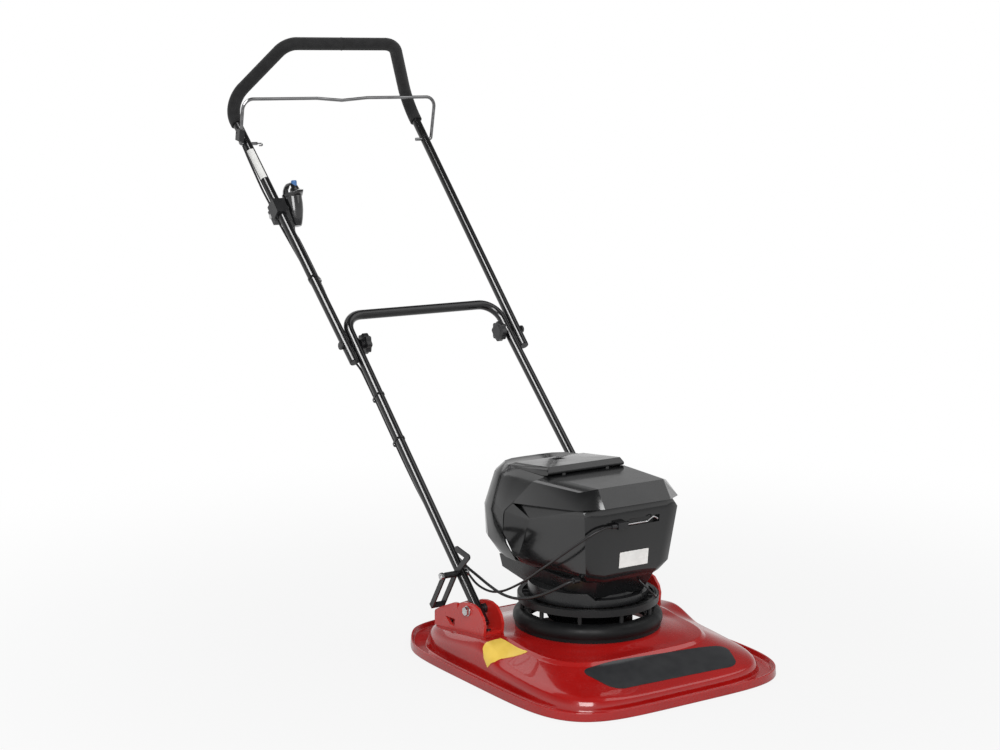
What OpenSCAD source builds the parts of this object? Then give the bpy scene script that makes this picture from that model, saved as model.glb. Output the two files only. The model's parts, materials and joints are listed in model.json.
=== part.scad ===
// Battery hover mower: a moulded deck that floats on the air of an impeller,
// a motor head above its intake, and a folding tube handle with a bail bar.
// Millimetres. Z is up, the mower faces -Y, the operator stands at +Y.
// The origin is on the ground, on the axis of the blade spindle.

/* [Deck] */
// Half of the deck's width
deck_half_w = 300; // [292:1:310]
// Reach of the deck in front of the spindle
deck_front = 347; // [340:1:360]
// Reach of the deck behind the spindle
deck_rear = 328; // [322:1:340]
// How square the deck's corners are
deck_power = 4.9; // [4.5:0.1:5.5]
// Height of the lip round the deck
rim_h = 18; // [15:0.5:20]
// Width of the gutter inside the lip
gutter_w = 22; // [18:1:26]
// Wall of the deck shell
deck_wall = 4; // [3:0.5:5]
// Height of the wear bead under the rim
foot_h = 0.8; // [0.6:0.1:1.2]
// Lift of the rim along the rear edge
rear_lift = 14; // [8:1:18]
// Height of the seat under the air intake
seat_z = 78; // [76:1:82]

/* [Air intake] */
// Radius of the air opening in the deck
intake_r = 139; // [134:1:142]
// Radius of the round section of the intake bell
bell_r = 18; // [16:0.5:19]
// Height of the open slot between the bell and the guard
slot_h = 17; // [14:1:22]
// Outside radius of the guard ring
guard_r = 148; // [146:1:152]
// Height of the guard ring
guard_h = 14; // [12:1:16]
// Number of fins in the guard
fin_count = 30; // [20:1:34]
// Number of posts that carry the guard
post_count = 10; // [8:1:12]
// Radius of the neck of the motor base
neck_r = 116; // [112:1:118]

/* [Motor] */
// Diameter of the motor shaft
shaft_d = 16; // [14:0.5:18]
// Outside radius of the stator
stator_r = 52; // [48:1:54]
// Radius of the impeller
impeller_r = 180; // [160:1:184]
// Number of impeller vanes
vane_count = 12; // [8:1:14]
// Room between the cutter bar's tips and the gutter's inner edge
blade_gap = 38.5; // [36:0.5:60]
// Width of the cutter bar
blade_w = 46; // [40:1:52]
// Height of the cutter bar above the ground
blade_z = 22; // [21:0.5:24]

/* [Power head] */
// Height of the joint between motor base and housing
head_z = 205; // [203:1:208]
// Wall of the battery cover
cover_wall = 4; // [3:0.5:5]
// Gap along the parting line of the battery cover
parting_gap = 1.6; // [1:0.1:2.5]
// Width of the battery pack
battery_w = 166; // [150:1:170]
// Height of the battery pack
battery_h = 128; // [110:1:130]
// Diameter of the cover's hinge pin
hinge_d = 3.6; // [3:0.2:4]

/* [Handle] */
// Diameter of the handle tubes
tube_d = 22; // [21:0.5:23]
// Wall of the handle tubes
tube_wall = 1.6; // [1.2:0.1:2]
// Angle of the handle above the ground
handle_angle = 44.5; // [43:0.5:46]
// Height of the handle pivot
pivot_z = 113.6; // [112:0.2:116]
// Place of the handle pivot behind the spindle
pivot_y = 104.8; // [103:0.2:107]
// Half of the distance between the lower tubes
leg_x = 207; // [205:0.5:210]
// Length of the lower handle from pivot to crossbar
lower_len = 785; // [770:1:800]
// Length of tube below the pivot
tail_len = 35; // [30:1:36]
// Distance from the crossbar down to the fold joint
fold_back = 82; // [75:1:90]
// Length of the upper handle above the fold joint
upper_len = 747; // [740:1:760]
// Rise of the grip loop from the tubes
grip_rise = 182; // [175:1:190]
// Half of the width of the grip's top bar
grip_half_w = 150; // [145:1:156]
// Outside diameter of the foam grip
foam_d = 31; // [29:0.5:33]

/* [Handle fittings] */
// Diameter of the pivot bolts
pivot_bolt_d = 10; // [9:0.5:11]
// Diameter of the fold bolts and the latch bolt
fold_bolt_d = 8; // [7:0.5:9]
// Thickness of a bracket ear
ear_t = 6; // [5:0.5:7]
// Distance between the ears of a bracket, outside to outside
bracket_w = 50; // [49:0.5:52]
// Diameter of the clamp knobs
knob_d = 48; // [44:1:52]
// Depth of the clamp knobs
knob_h = 22; // [18:1:24]
// Diameter of the bail rod
bail_d = 8; // [7:0.5:9]
// Width of the latch's flat bar
latch_w = 12; // [11:0.5:13]
// Length of the latch loop below its bolt
latch_len = 86; // [82:1:87]
// Diameter of the start button
button_d = 14; // [12:0.5:15]
// Travel room of the start button
button_travel = 4; // [3:0.5:5]
// Diameter of the power lead
lead_d = 6; // [5:0.5:6.5]
// Diameter of the control cable
cable_d = 5; // [4:0.5:5.5]
// Diameter of the sensor lead
sensor_d = 3.6; // [3:0.2:4]

/* [Hidden] */
$fn = 48;
eps = 0.02;
run = 0.05;
seat_gap = 0.1;
clear = 0.4;

// Vector and curve helpers
function unit(v) = v / norm(v);
function mix(a, b, t) = a + (b - a) * t;
function ease(t) = let (c = min(1, max(0, t))) c * c * (3 - 2 * c);
function spline(p, i, t) =
    let (n = len(p) - 1, a = p[max(0, i - 1)], b = p[i], c = p[i + 1], d = p[min(n, i + 2)])
    0.5 * (2 * b + (c - a) * t + (2 * a - 5 * b + 4 * c - d) * t * t + (3 * b - a - 3 * c + d) * t * t * t);
function curve(p, steps) =
    [for (i = [0:len(p) - 2]) for (k = [0:steps - 1]) spline(p, i, k / steps), p[len(p) - 1]];

// Rings of points joined into one closed skin; looped joins the last ring to the first
module skin(rings, looped = false) {
    n = len(rings[0]);
    m = len(rings);
    sides = [for (i = [0:m - (looped ? 1 : 2)]) for (k = [0:n - 1])
        let (low = i * n, high = ((i + 1) % m) * n, next = (k + 1) % n)
        each [[low + k, low + next, high + next], [low + k, high + next, high + k]]];
    caps = looped ? [] : [[for (k = [n - 1:-1:0]) k], [for (k = [0:n - 1]) (m - 1) * n + k]];
    polyhedron([for (r = rings) each r], concat(sides, caps));
}

// A round cord swept along a list of points; ends gives the directions that its end faces look along
function cord_ring(p, t, r, sides) =
    let (side = unit(cross(t, abs(t[2]) < 0.8 ? [0, 0, 1] : [0, 1, 0])), up = cross(side, t))
    [for (k = [0:sides - 1]) p + r * (cos(360 * k / sides) * side - sin(360 * k / sides) * up)];
module cord(points, d, ends = [], steps = 3, sides = 8) {
    p = curve(points, steps);
    n = len(p) - 1;
    first = len(ends) > 0 ? ends[0] : unit(p[1] - p[0]);
    last = len(ends) > 1 ? ends[1] : unit(p[n] - p[n - 1]);
    way = [for (i = [0:n]) i == 0 ? first : i == n ? last : unit(p[i + 1] - p[i - 1])];
    skin([for (i = [0:n]) cord_ring(p[i], way[i], d / 2, sides)]);
}

// Frames: one axis from a to b, and the frame of a bend
module along(a, b) {
    z = unit(b - a);
    x = unit(cross(abs(z[2]) < 0.9 ? [0, 0, 1] : [0, 1, 0], z));
    y = cross(z, x);
    multmatrix([[x[0], y[0], z[0], a[0]], [x[1], y[1], z[1], a[1]], [x[2], y[2], z[2], a[2]]]) children();
}
function bend_half(a, b, c) = acos(unit(a - b) * unit(c - b)) / 2;
function bend_in(a, b, c, r) = b + unit(a - b) * r / tan(bend_half(a, b, c));
module bend(a, b, c, r, d) {
    half = bend_half(a, b, c);
    centre = b + unit(unit(a - b) + unit(c - b)) * r / sin(half);
    x = unit(bend_in(a, b, c, r) - centre);
    z = unit(cross(x, bend_in(c, b, a, r) - centre));
    y = cross(z, x);
    multmatrix([[x[0], y[0], z[0], centre[0]], [x[1], y[1], z[1], centre[1]], [x[2], y[2], z[2], centre[2]]])
        rotate_extrude(angle = 180 - 2 * half) translate([r, 0]) circle(d = d);
}
// A bent rod through the corners of a path, with a bend radius at each inner corner.
// The straights lap into bends that are a hair thicker, and run past both ends by over.
bend_lap = 0.5;
bend_swell = 0.2;
module bent_rod(p, radii, d, over = 0) {
    n = len(p) - 1;
    for (i = [0:n - 1]) {
        t = unit(p[i + 1] - p[i]);
        a = i == 0 ? p[0] - t * over : bend_in(p[i + 1], p[i], p[i - 1], radii[i - 1]) - t * bend_lap;
        b = i == n - 1 ? p[n] + t * over : bend_in(p[i], p[i + 1], p[i + 2], radii[i]) + t * bend_lap;
        along(a, b) cylinder(d = d, h = norm(b - a));
    }
    for (i = [1:n - 1]) bend(p[i - 1], p[i], p[i + 1], radii[i - 1], d + bend_swell);
}
module bent_tube(p, radii, d, wall) {
    difference() {
        bent_rod(p, radii, d);
        bent_rod(p, radii, d - 2 * wall, 1);
    }
}
// A cylinder along X between two places
module rod_x(x0, x1, d) {
    translate([x0, 0, 0]) rotate([0, 90, 0]) cylinder(d = d, h = x1 - x0);
}
module hex_x(x0, x1, across) {
    translate([x0, 0, 0]) rotate([0, 90, 0]) cylinder(d = across / cos(30), h = x1 - x0, $fn = 6);
}
// Both sides of the mower
module both_sides() {
    children();
    mirror([1, 0, 0]) children();
}
module shape_yz(x0, x1) {
    translate([x0, 0, 0]) rotate([90, 0, 90]) linear_extrude(x1 - x0) children();
}

// Deck: rings from the foot of the rim up to the air opening, then back along the underside
deck_points = 72;
pad_y0 = 0;
pad_z0 = 79.2;
pad_slope = 0.116;
function pad_z(y) = pad_z0 - pad_slope * (y - pad_y0);
function outline_r(ang, half_w, front, rear, power) =
    let (c = abs(cos(ang)) / half_w, s = abs(sin(ang)) / (sin(ang) < 0 ? front : rear))
    pow(pow(c, power) + pow(s, power), -1 / power);
// Height of a ring: a straight fall to the front, a bracket pad at the rear, an eased step between
function ring_z(y, front, z) =
    let (ahead = z[0] + (z[1] - z[0]) * (y + front) / (front - 40), behind = z[2] + z[3] * y)
    mix(ahead, behind, ease((y + 60) / 95));
function deck_ring(inset, power, z, lifted) =
    [for (k = [0:deck_points - 1])
        let (ang = 360 * k / deck_points, front = deck_front - inset[1],
            r = outline_r(ang, deck_half_w - inset[0], front, deck_rear - inset[2], power), y = r * sin(ang))
        [r * cos(ang), y, ring_z(y, front, z) + (lifted ? rear_lift * ease((y - deck_rear + 73) / 30) : 0)]];
function round_ring(r, z) =
    [for (k = [0:deck_points - 1]) let (ang = 360 * k / deck_points) [r * cos(ang), r * sin(ang), z]];
function level(z) = [z, z, z, 0];
function pad_ring(z0, z1) = [z0, z1, pad_z0, -pad_slope];
gutter_depth = 11;
gutter_z = rim_h - gutter_depth;
lip_w = 5;
gutter_in = lip_w + 2 + gutter_w;
blade_len = 2 * (deck_half_w - gutter_in - blade_gap);
// Insets that put a ring at a distance from the air opening at the side, front and rear
function crown(w) = [deck_half_w - intake_r - w[0], deck_front - intake_r - w[1],
    deck_rear - intake_r - w[2]];
// Insets from the deck's outline at the side, front and rear, corner power, heights, lifted at the rear
deck_steps = [
    [[0, 0, 0], deck_power, level(foot_h), true],
    [[1, 1, 1], deck_power, level(rim_h), true],
    [[lip_w, lip_w, lip_w], deck_power, level(rim_h), true],
    [[lip_w + 2, lip_w + 2, lip_w + 2], deck_power, level(gutter_z), true],
    [[gutter_in, gutter_in, gutter_in], deck_power, level(gutter_z), true],
    [[gutter_in + 4, gutter_in + 2, gutter_in + 5], deck_power, [18, 30, 38, -0.02], false],
    [[gutter_in + 10, gutter_in + 7, gutter_in + 11], deck_power, [26, 43, 66, -0.09], false],
    [[50, gutter_in + 16, 52], 5.6, pad_ring(30, 51), false],
    [crown([68, 68, 119]), 4.2, pad_ring(58, 66), false],
    [crown([61, 60, 111]), 4.2, pad_ring(65, 72), false],
    [crown([35, 37, 77]), 3.5, pad_ring(68, 74), false],
];
// The bead runs round the front and both sides, and stops before the lifted rear rim
bead_stop = 76;
bead_inset = 0.6;
function deck_outline(inset) =
    [for (k = [0:deck_points - 1])
        let (ang = 360 * (k + 0.3) / deck_points,
            r = outline_r(ang, deck_half_w - inset, deck_front - inset, deck_rear - inset, deck_power))
        [r * cos(ang), r * sin(ang)]];
module deck_shell() {
    under = [for (i = [len(deck_steps) - 1:-1:4]) let (s = deck_steps[i], w = deck_wall)
        deck_ring(s[0] + [w, w, w], s[1], [s[2][0] - w, s[2][1] - w, s[2][2] - w, s[2][3]], s[3])];
    foot = [deck_wall, deck_wall, deck_wall];
    rings = concat([for (s = deck_steps) deck_ring(s[0], s[1], s[2], s[3])],
        [round_ring(intake_r + 19, seat_z), round_ring(intake_r + 1, seat_z),
            round_ring(intake_r + 1, seat_z - deck_wall), round_ring(intake_r + 15, seat_z - deck_wall)],
        under,
        [deck_ring(foot, deck_power, level(gutter_z - deck_wall), true),
            deck_ring(foot, deck_power, level(foot_h), true)]);
    color("#b3161b") {
        skin([for (r = rings) [for (k = [deck_points - 1:-1:0]) r[k]]], true);
        linear_extrude(foot_h + bead_inset) difference() {
            polygon(deck_outline(bead_inset));
            polygon(deck_outline(deck_wall - bead_inset));
            translate([-deck_half_w, deck_rear - bead_stop]) square(2 * deck_half_w);
        }
    }
}

// Handle brackets: two ears on a floor, with a notched horn behind the pivot
bracket_x = leg_x + bracket_w / 2;
bracket_front = 60;
bracket_rear = 129;
floor_t = 6;
module bracket_profile() {
    y0 = pivot_y - bracket_front;
    y1 = pivot_y + bracket_rear;
    difference() {
        polygon([[y0, pad_z(y0) + seat_gap], [y0 - 2, pivot_z - 18], [y0 + 4, pivot_z - 2],
            [y0 + 20, pivot_z + 13], [y0 + 40, pivot_z + 18], [pivot_y, pivot_z + 17.5],
            [pivot_y + 18, pivot_z + 14], [pivot_y + 32, pivot_z + 7],
            [pivot_y + 39, pivot_z - 6], [pivot_y + 41, pivot_z + 7], [pivot_y + 52, pivot_z + 6],
            [y1 - 22, pivot_z - 17.4], [y1 - 3, pivot_z - 27.4], [y1, pivot_z - 32],
            [y1, pad_z(y1) + seat_gap]]);
        polygon([[pivot_y + 86, pivot_z - 31.5], [pivot_y + 49, pivot_z - 29.5],
            [pivot_y + 50.5, pivot_z - 46.5],
            [pivot_y + 68, pivot_z - 45]]);
    }
}
module bracket_floor() {
    y0 = pivot_y - bracket_front + 4;
    y1 = pivot_y + bracket_rear;
    polygon([[y0, pad_z(y0) + seat_gap], [y0, pad_z(y0) + floor_t], [y1 - 6, pad_z(y1 - 6) + floor_t],
        [y1 - 6, pivot_z - 40], [y1, pivot_z - 40], [y1, pad_z(y1) + seat_gap]]);
}
screw_places = [pivot_y - 40, pivot_y + 70, pivot_y + 104];
module bracket() {
    difference() {
        union() {
            shape_yz(leg_x - bracket_w / 2, leg_x - bracket_w / 2 + ear_t) bracket_profile();
            shape_yz(bracket_x - ear_t, bracket_x) bracket_profile();
            shape_yz(leg_x - bracket_w / 2 + ear_t - eps, bracket_x - ear_t + eps) bracket_floor();
        }
        translate([0, pivot_y, pivot_z]) rod_x(leg_x - bracket_w, leg_x + bracket_w, pivot_bolt_d + 2 * run);
    }
}
module bracket_left() { color("#c02026") bracket(); }
module bracket_right() { color("#c02026") mirror([1, 0, 0]) bracket(); }
// Pan head screws that stand on the bracket floors
module bracket_screws() {
    color("silver") both_sides() for (y = screw_places)
        translate([leg_x, y, pad_z(y) + floor_t]) rotate([-atan(pad_slope), 0, 0])
            translate([0, 0, seat_gap / 2]) cylinder(d = 11, h = 3);
}
// Hex bolt, washer and nut through each bracket
module pivot_bolts() {
    color("silver") both_sides() translate([0, pivot_y, pivot_z]) {
        rod_x(leg_x - bracket_w / 2 - 9, bracket_x + 2, pivot_bolt_d);
        rod_x(bracket_x + seat_gap, bracket_x + 2, 22);
        hex_x(bracket_x + 2 - eps, bracket_x + 8, 17);
        hex_x(leg_x - bracket_w / 2 - 8, leg_x - bracket_w / 2 - seat_gap, 17);
    }
}

// Air intake
bell_z = seat_z + bell_r;
guard_z = bell_z + bell_r + slot_h;
hub_t = 6;
module intake_bell() {
    color("#1b1c1e") rotate_extrude($fn = 96) {
        difference() {
            union() {
                translate([intake_r, bell_z]) circle(r = bell_r);
                translate([intake_r - 10, seat_z + seat_gap]) square([24, bell_r]);
            }
            translate([0, seat_z - bell_r]) square([intake_r + 2 * bell_r, bell_r + seat_gap]);
        }
    }
}
module intake_guard() {
    color("#17181a") {
        rotate_extrude($fn = 96) {
            translate([guard_r - 10, guard_z]) square([10, guard_h]);
            translate([neck_r - 4, guard_z]) square([hub_t, guard_h]);
        }
        for (k = [0:fin_count - 1]) rotate([0, 0, 360 * (k + 0.5) / fin_count])
            translate([neck_r, -1.5, guard_z + 2]) cube([guard_r - neck_r - 8, 3, guard_h - 4]);
        for (k = [0:post_count - 1]) rotate([0, 0, 360 * (k + 0.3) / post_count])
            translate([intake_r, 0, bell_z + bell_r + seat_gap]) cylinder(r = 4.5, h = slot_h);
    }
}

// Motor base: round neck under a tray that carries the battery end
base_z = guard_z + guard_h + seat_gap;
bearing_d = 40;
bearing_h = 10;
motor_room_r = stator_r + 11;
lower_bearing_z = base_z + 4;
motor_floor_z = lower_bearing_z + bearing_h + 4;
tray_half_w = 110;
tray_rear = 169;
collar_w = 10;
collar_h = 15;
collar_step = 13;
step_x = -62;
cowl_h = 52;
cowl_r = 84;
module motor_base() {
    tray = mirrored([[tray_half_w, tray_rear, head_z], [tray_half_w, -70, head_z], [72, -128, head_z],
        [tray_half_w - 5, tray_rear - 4, head_z - 28], [tray_half_w - 8, 82, head_z - 43],
        [tray_half_w - 14, -62, head_z - 43], [62, -104, head_z - 43]]);
    color("#1e1f21") difference() {
        union() {
            translate([0, 0, base_z]) {
                cylinder(r1 = neck_r, r2 = neck_r - 8, h = head_z - 40 - base_z, $fn = 64);
                cylinder(r = neck_r + collar_w, h = collar_h, $fn = 64);
                intersection() {
                    cylinder(r = neck_r + collar_w, h = collar_h + collar_step, $fn = 64);
                    rotate([90, 0, 0]) linear_extrude(3 * neck_r, center = true)
                        polygon([[-2 * neck_r, 0], [-2 * neck_r, collar_h + collar_step],
                            [step_x - collar_step, collar_h + collar_step], [step_x, collar_h], [step_x, 0]]);
                }
                // Motor cowl that hangs into the air intake
                translate([0, 0, -cowl_h])
                    cylinder(r1 = cowl_r, r2 = neck_r - 4 - clear, h = cowl_h + 1, $fn = 64);
            }
            hull_of(tray);
        }
        translate([0, 0, motor_floor_z]) difference() {
            cylinder(r = motor_room_r, h = head_z);
            cylinder(d = bearing_d + 6, h = head_z - motor_floor_z - 8);
        }
        translate([0, 0, lower_bearing_z]) cylinder(d = bearing_d + 2 * run, h = head_z);
        cylinder(d = shaft_d + 4, h = head_z);
    }
}
upper_bearing_z = head_z + 26;
module bearing(z) {
    translate([0, 0, z]) difference() {
        cylinder(d = bearing_d, h = bearing_h);
        translate([0, 0, -1]) cylinder(d = shaft_d + 2 * run, h = bearing_h + 2);
    }
}
module motor_bearings() {
    color("gainsboro") {
        bearing(lower_bearing_z + seat_gap);
        bearing(upper_bearing_z + seat_gap);
    }
}
stator_z = motor_floor_z + 3;
stator_h = head_z - 12 - stator_z;
module motor_stator() {
    color("peru") translate([0, 0, stator_z]) difference() {
        cylinder(r = stator_r, h = stator_h);
        translate([0, 0, -1]) cylinder(d = bearing_d + 6 + 2 * run, h = stator_h + 2);
        for (k = [0:11]) rotate([0, 0, 30 * k])
            translate([stator_r - 18, -2, -1]) cube([30, 4, stator_h + 2]);
    }
}

// Rotor: everything that turns with the spindle
can_t = 4;
can_gap = 1;
can_top = head_z + 4;
module motor_shaft() {
    foot = blade_z + 8;
    color("silver") translate([0, 0, foot]) cylinder(d = shaft_d, h = upper_bearing_z + bearing_h + 2 - foot);
}
module motor_rotor() {
    color("dimgray") difference() {
        translate([0, 0, stator_z]) cylinder(r = stator_r + can_gap + can_t, h = can_top + 5 - stator_z);
        translate([0, 0, stator_z - 1]) cylinder(r = stator_r + can_gap, h = can_top + 1 - stator_z);
        cylinder(d = shaft_d + 2 * eps, h = head_z * 2);
        for (k = [0:5]) rotate([0, 0, 60 * k])
            translate([stator_r - 16, 0, can_top - 1]) cylinder(d = 14, h = 12);
    }
}
impeller_z = blade_z + 14;
vane_h = 20;
module impeller() {
    color("#2b2c2e") difference() {
        union() {
            translate([0, 0, impeller_z]) cylinder(r = impeller_r, h = 3, $fn = 96);
            translate([0, 0, impeller_z]) cylinder(r1 = 34, r2 = 20, h = 34);
            for (k = [0:vane_count - 1]) rotate([0, 0, 360 * k / vane_count])
                translate([52, 0, impeller_z + 3 - eps]) rotate([0, 0, 24])
                    cube([impeller_r - 66, 3, vane_h]);
        }
        cylinder(d = shaft_d + 2 * eps, h = head_z);
    }
}
module blade_spacers() {
    color("#3a3b3d") for (k = [0, 1]) translate([0, 0, blade_z + 4 + seat_gap + 5 * k]) difference() {
        cylinder(d = 60, h = 5 - seat_gap);
        translate([0, 0, -1]) cylinder(d = shaft_d + 2 * eps, h = 8);
    }
}
module cutter_bar() {
    color("#4a4c4f") difference() {
        union() {
            translate([-blade_len / 2, -blade_w / 2, blade_z]) cube([blade_len, blade_w, 4]);
            for (s = [0, 180]) rotate([0, 0, s])
                translate([blade_len / 2 - 70, -blade_w / 2, blade_z + 4 - eps])
                    rotate([90, 0, 90]) linear_extrude(70) polygon([[0, 0], [8, 0], [0, 7]]);
        }
        translate([0, 0, blade_z - 1]) cylinder(d = 12.4, h = 8);
        for (s = [0, 180]) rotate([0, 0, s])
            translate([blade_len / 2 - 90, blade_w / 2 - 9, blade_z - 2]) rotate([-22, 0, 0])
                translate([0, 0, -6]) cube([100, 20, 6]);
    }
}
module blade_bolt() {
    color("silver") {
        translate([0, 0, blade_z - 3]) cylinder(d = 34, h = 3 - seat_gap);
        translate([0, 0, blade_z - 10]) cylinder(d = 19 / cos(30), h = 7 + eps, $fn = 6);
        translate([0, 0, blade_z - 4]) cylinder(d = 12, h = 12 - seat_gap);
    }
}

// Power head: parting line of the battery cover as it shows from the side
part_line = [[14, 400], [100, 317], [108, 268], [89, 219], [86, head_z]];
hood_low = 364;
hood_nose = -166;
function hood_z(y) = hood_low - 0.114 * (y - hood_nose);
module ahead_of_cover(shift = 0) {
    shape_yz(-200, 200) polygon(concat([[-300, 460], [part_line[0][0] + shift, 460]],
        [for (p = part_line) p + [shift, 0]], [[part_line[4][0] + shift, 100], [-300, 100]]));
}
module hull_of(points) { hull() polyhedron(points, [[for (i = [0:len(points) - 1]) i]]); }
function mirrored(p) = concat(p, [for (q = p) [-q[0], q[1], q[2]]]);
// Facets of the housing: bottom bevel, panels, and the recess under the hood
housing_points = mirrored([
    [58, -136, head_z], [92, -118, head_z], [112, 60, head_z], [112, 112, head_z],
    [70, -148, 227], [105, -133, 228], [124, 74, 221], [126, 112, 224],
    [85, -158, 341], [118, -145, 342], [131, 21, 311], [136, 112, 300],
    [80, -151, hood_z(-151) - seat_gap], [112, -132, hood_z(-132) - seat_gap],
    [121, 70, hood_z(70) - seat_gap]]);
// Flank that flares out to the cover at the parting line
flank_points = [[130, 22, 311], [123.5, 73, 222], [144, 104, 312], [142.5, 112, 268], [127.5, 92, 219],
    [136, 82, hood_z(82) - 0.4], [100, 40, 300], [100, 112, 300], [100, 112, 230], [100, 74, 230]];
bay_half_w = battery_w / 2 + 5;
bay_front = 58;
bay_top = head_z + battery_h + 8;
control_room = [184, 172, 92];
control_room_y = -124;
control_room_z = head_z + 38;
slot_x = [-16, 62];
slot_z = 327;
slot_tall = 15;
panel_y = -157.5;
module lower_housing() {
    color("#18191b") difference() {
        intersection() {
            union() {
                hull_of(housing_points);
                both_sides() hull_of(flank_points);
            }
            ahead_of_cover();
        }
        translate([-bay_half_w, bay_front, head_z - 1]) cube([2 * bay_half_w, 200, bay_top - head_z + 1]);
        translate([0, 0, head_z - 1]) cylinder(r = motor_room_r, h = 20);
        translate([0, 0, upper_bearing_z - 14]) cylinder(d = bearing_d - 8, h = 40);
        translate([0, 0, upper_bearing_z]) cylinder(d = bearing_d + 2 * run, h = bearing_h + 6);
        translate([-control_room[0] / 2, control_room_y, control_room_z]) cube(control_room);
        translate([slot_x[0], panel_y - 4, slot_z - slot_tall / 2])
            cube([slot_x[1] - slot_x[0], 16, slot_tall]);
    }
}
hood_points = mirrored([
    [100, 14, 400], [83, -141, 401], [127, 24, 390], [111, -115, 392],
    [83, hood_nose, hood_low], [128, -134, hood_z(-134)], [138, 79, hood_z(79)]]);
hinge_y = 13.6;
hinge_z = 405.6;
hinge_r = 4.2;
knuckle_r = 3.4;
knuckle_w = 8;
knuckles = [-56, 56];
module front_hood() {
    color("#1b1c1f") difference() {
        union() {
            intersection() {
                hull_of(hood_points);
                ahead_of_cover();
            }
            for (x = knuckles) shape_yz(x - knuckle_w / 2, x + knuckle_w / 2) {
                translate([hinge_y, hinge_z]) circle(r = knuckle_r);
                polygon([[hinge_y - 4, hinge_z - 10], [hinge_y, hinge_z - 10],
                    [hinge_y + 1.6, hinge_z], [hinge_y - 0.6, hinge_z]]);
            }
        }
        translate([0, hinge_y, hinge_z]) rod_x(-120, 120, hinge_d);
        hull_of(mirrored([[92, 0, 392], [76, -132, 393], [112, -2, 382], [100, -112, 384],
            [76, -140, hood_z(-140) - 1], [104, -120, hood_z(-120) - 1], [108, 40, hood_z(40) - 1]]));
    }
}
// Screw bosses that hold the hood down on the housing
module hood_screws() {
    color("dimgray") both_sides() for (y = [-104, 20])
        translate([84, y, hood_z(y)]) rotate([-6.5, 0, 0]) translate([0, 0, 0.2]) cylinder(d = 12, h = 5);
}
module hinge_pin() {
    color("silver") translate([0, hinge_y, hinge_z]) rod_x(-78, 78, hinge_d - 2 * run);
}

// Battery cover: a rounded helmet with creased sides, open below and in front
cover_y = 40;
cover_points = 40;
cover_top = 399;
// Height, half width, reach behind cover_y, corner power
cover_levels = [[head_z + 1, 121, 150, 5], [245, 141, 186, 5], [309, 145, 188, 5], [380, 122, 184, 4.5],
    [cover_top, 102, 168, 4.5]];
function cover_ring(s, wall) =
    [for (k = [0:cover_points - 1])
        let (ang = 360 * k / cover_points, reach = s[2] - wall,
            r = outline_r(ang, s[1] - wall, reach, reach, s[3]))
        [r * cos(ang), cover_y + r * sin(ang), s[0]]];
module cover_body(wall, low, high) {
    top = len(cover_levels) - 1;
    rings = [for (i = [0:top])
        let (s = cover_levels[i], drop = i == 0 ? low : i == top ? high : 0)
        cover_ring([s[0] - drop, s[1], s[2], s[3]], wall)];
    skin([for (r = rings) [for (k = [cover_points - 1:-1:0]) r[k]]]);
}
module cover_deck() {
    hull() {
        translate([0, hinge_y, hinge_z]) rod_x(-98, 98, 2 * hinge_r);
        hull_of(mirrored([[97, hinge_y - hinge_r, hinge_z + 1], [92, 16, 418], [88, 141, 405.5],
            [98, 158, 398], [99, 30, 398]]));
    }
}
module battery_cover() {
    color("#202124") difference() {
        union() {
            difference() {
                cover_body(0, 0, 0);
                cover_body(cover_wall, 10, cover_wall);
                ahead_of_cover(parting_gap);
            }
            difference() {
                cover_deck();
                hull_of(mirrored([[80, 34, 390], [80, 130, 390], [80, 34, 411], [80, 130, 401]]));
            }
        }
        translate([0, hinge_y, hinge_z]) {
            rod_x(-80, 80, hinge_d + 2 * run);
            for (x = knuckles) rod_x(x - knuckle_w / 2 - 0.5, x + knuckle_w / 2 + 0.5, 2 * knuckle_r + 0.8);
        }
        // Room for the knuckle's neck as the cover turns
        for (x = knuckles) shape_yz(x - knuckle_w / 2 - 0.5, x + knuckle_w / 2 + 0.5)
            polygon([[hinge_y, hinge_z], [hinge_y - 9, hinge_z + 1.4], [hinge_y - 9, hinge_z - 9],
                [hinge_y + 5, hinge_z - 9]]);
        translate([-14, 100, 405.5]) cube([28, 20, 10]);
    }
}
battery_front = bay_front + 6;
battery_rear = tray_rear - 3;
module battery_pack() {
    d = battery_rear - battery_front;
    color("#26282b") translate([0, battery_front, head_z + seat_gap]) difference() {
        union() {
            translate([-battery_w / 2, 0, 6]) cube([battery_w, d, battery_h - 22]);
            translate([-battery_w / 2 + 8, 6, battery_h - 20]) cube([battery_w - 16, d - 22, 18]);
            translate([-battery_w / 2 + 14, 8, 0]) cube([battery_w - 28, d - 16, 7]);
        }
        translate([-32, d - 30, battery_h - 34]) cube([64, 14, 40]);
        for (k = [-3:3]) translate([k * 20 - 2, d - 2, 18]) cube([4, 4, 60]);
    }
}
// Rails that guide the pack into its bay
module battery_rails() {
    color("gray") both_sides()
        translate([battery_w / 2 - 13 + clear, battery_front, head_z + seat_gap])
            cube([10, battery_rear - battery_front - 14, 5.4]);
}
module motor_controller() {
    size = [control_room[0] - 44, control_room[1] - 24, 12];
    color("#3d4b3f") translate([-size[0] / 2, control_room_y + 10, control_room_z + seat_gap]) {
        cube(size);
        for (k = [0:7]) translate([8 + 16 * k, 14, size[2] - eps]) cube([6, size[1] - 28, 22]);
    }
}

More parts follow.
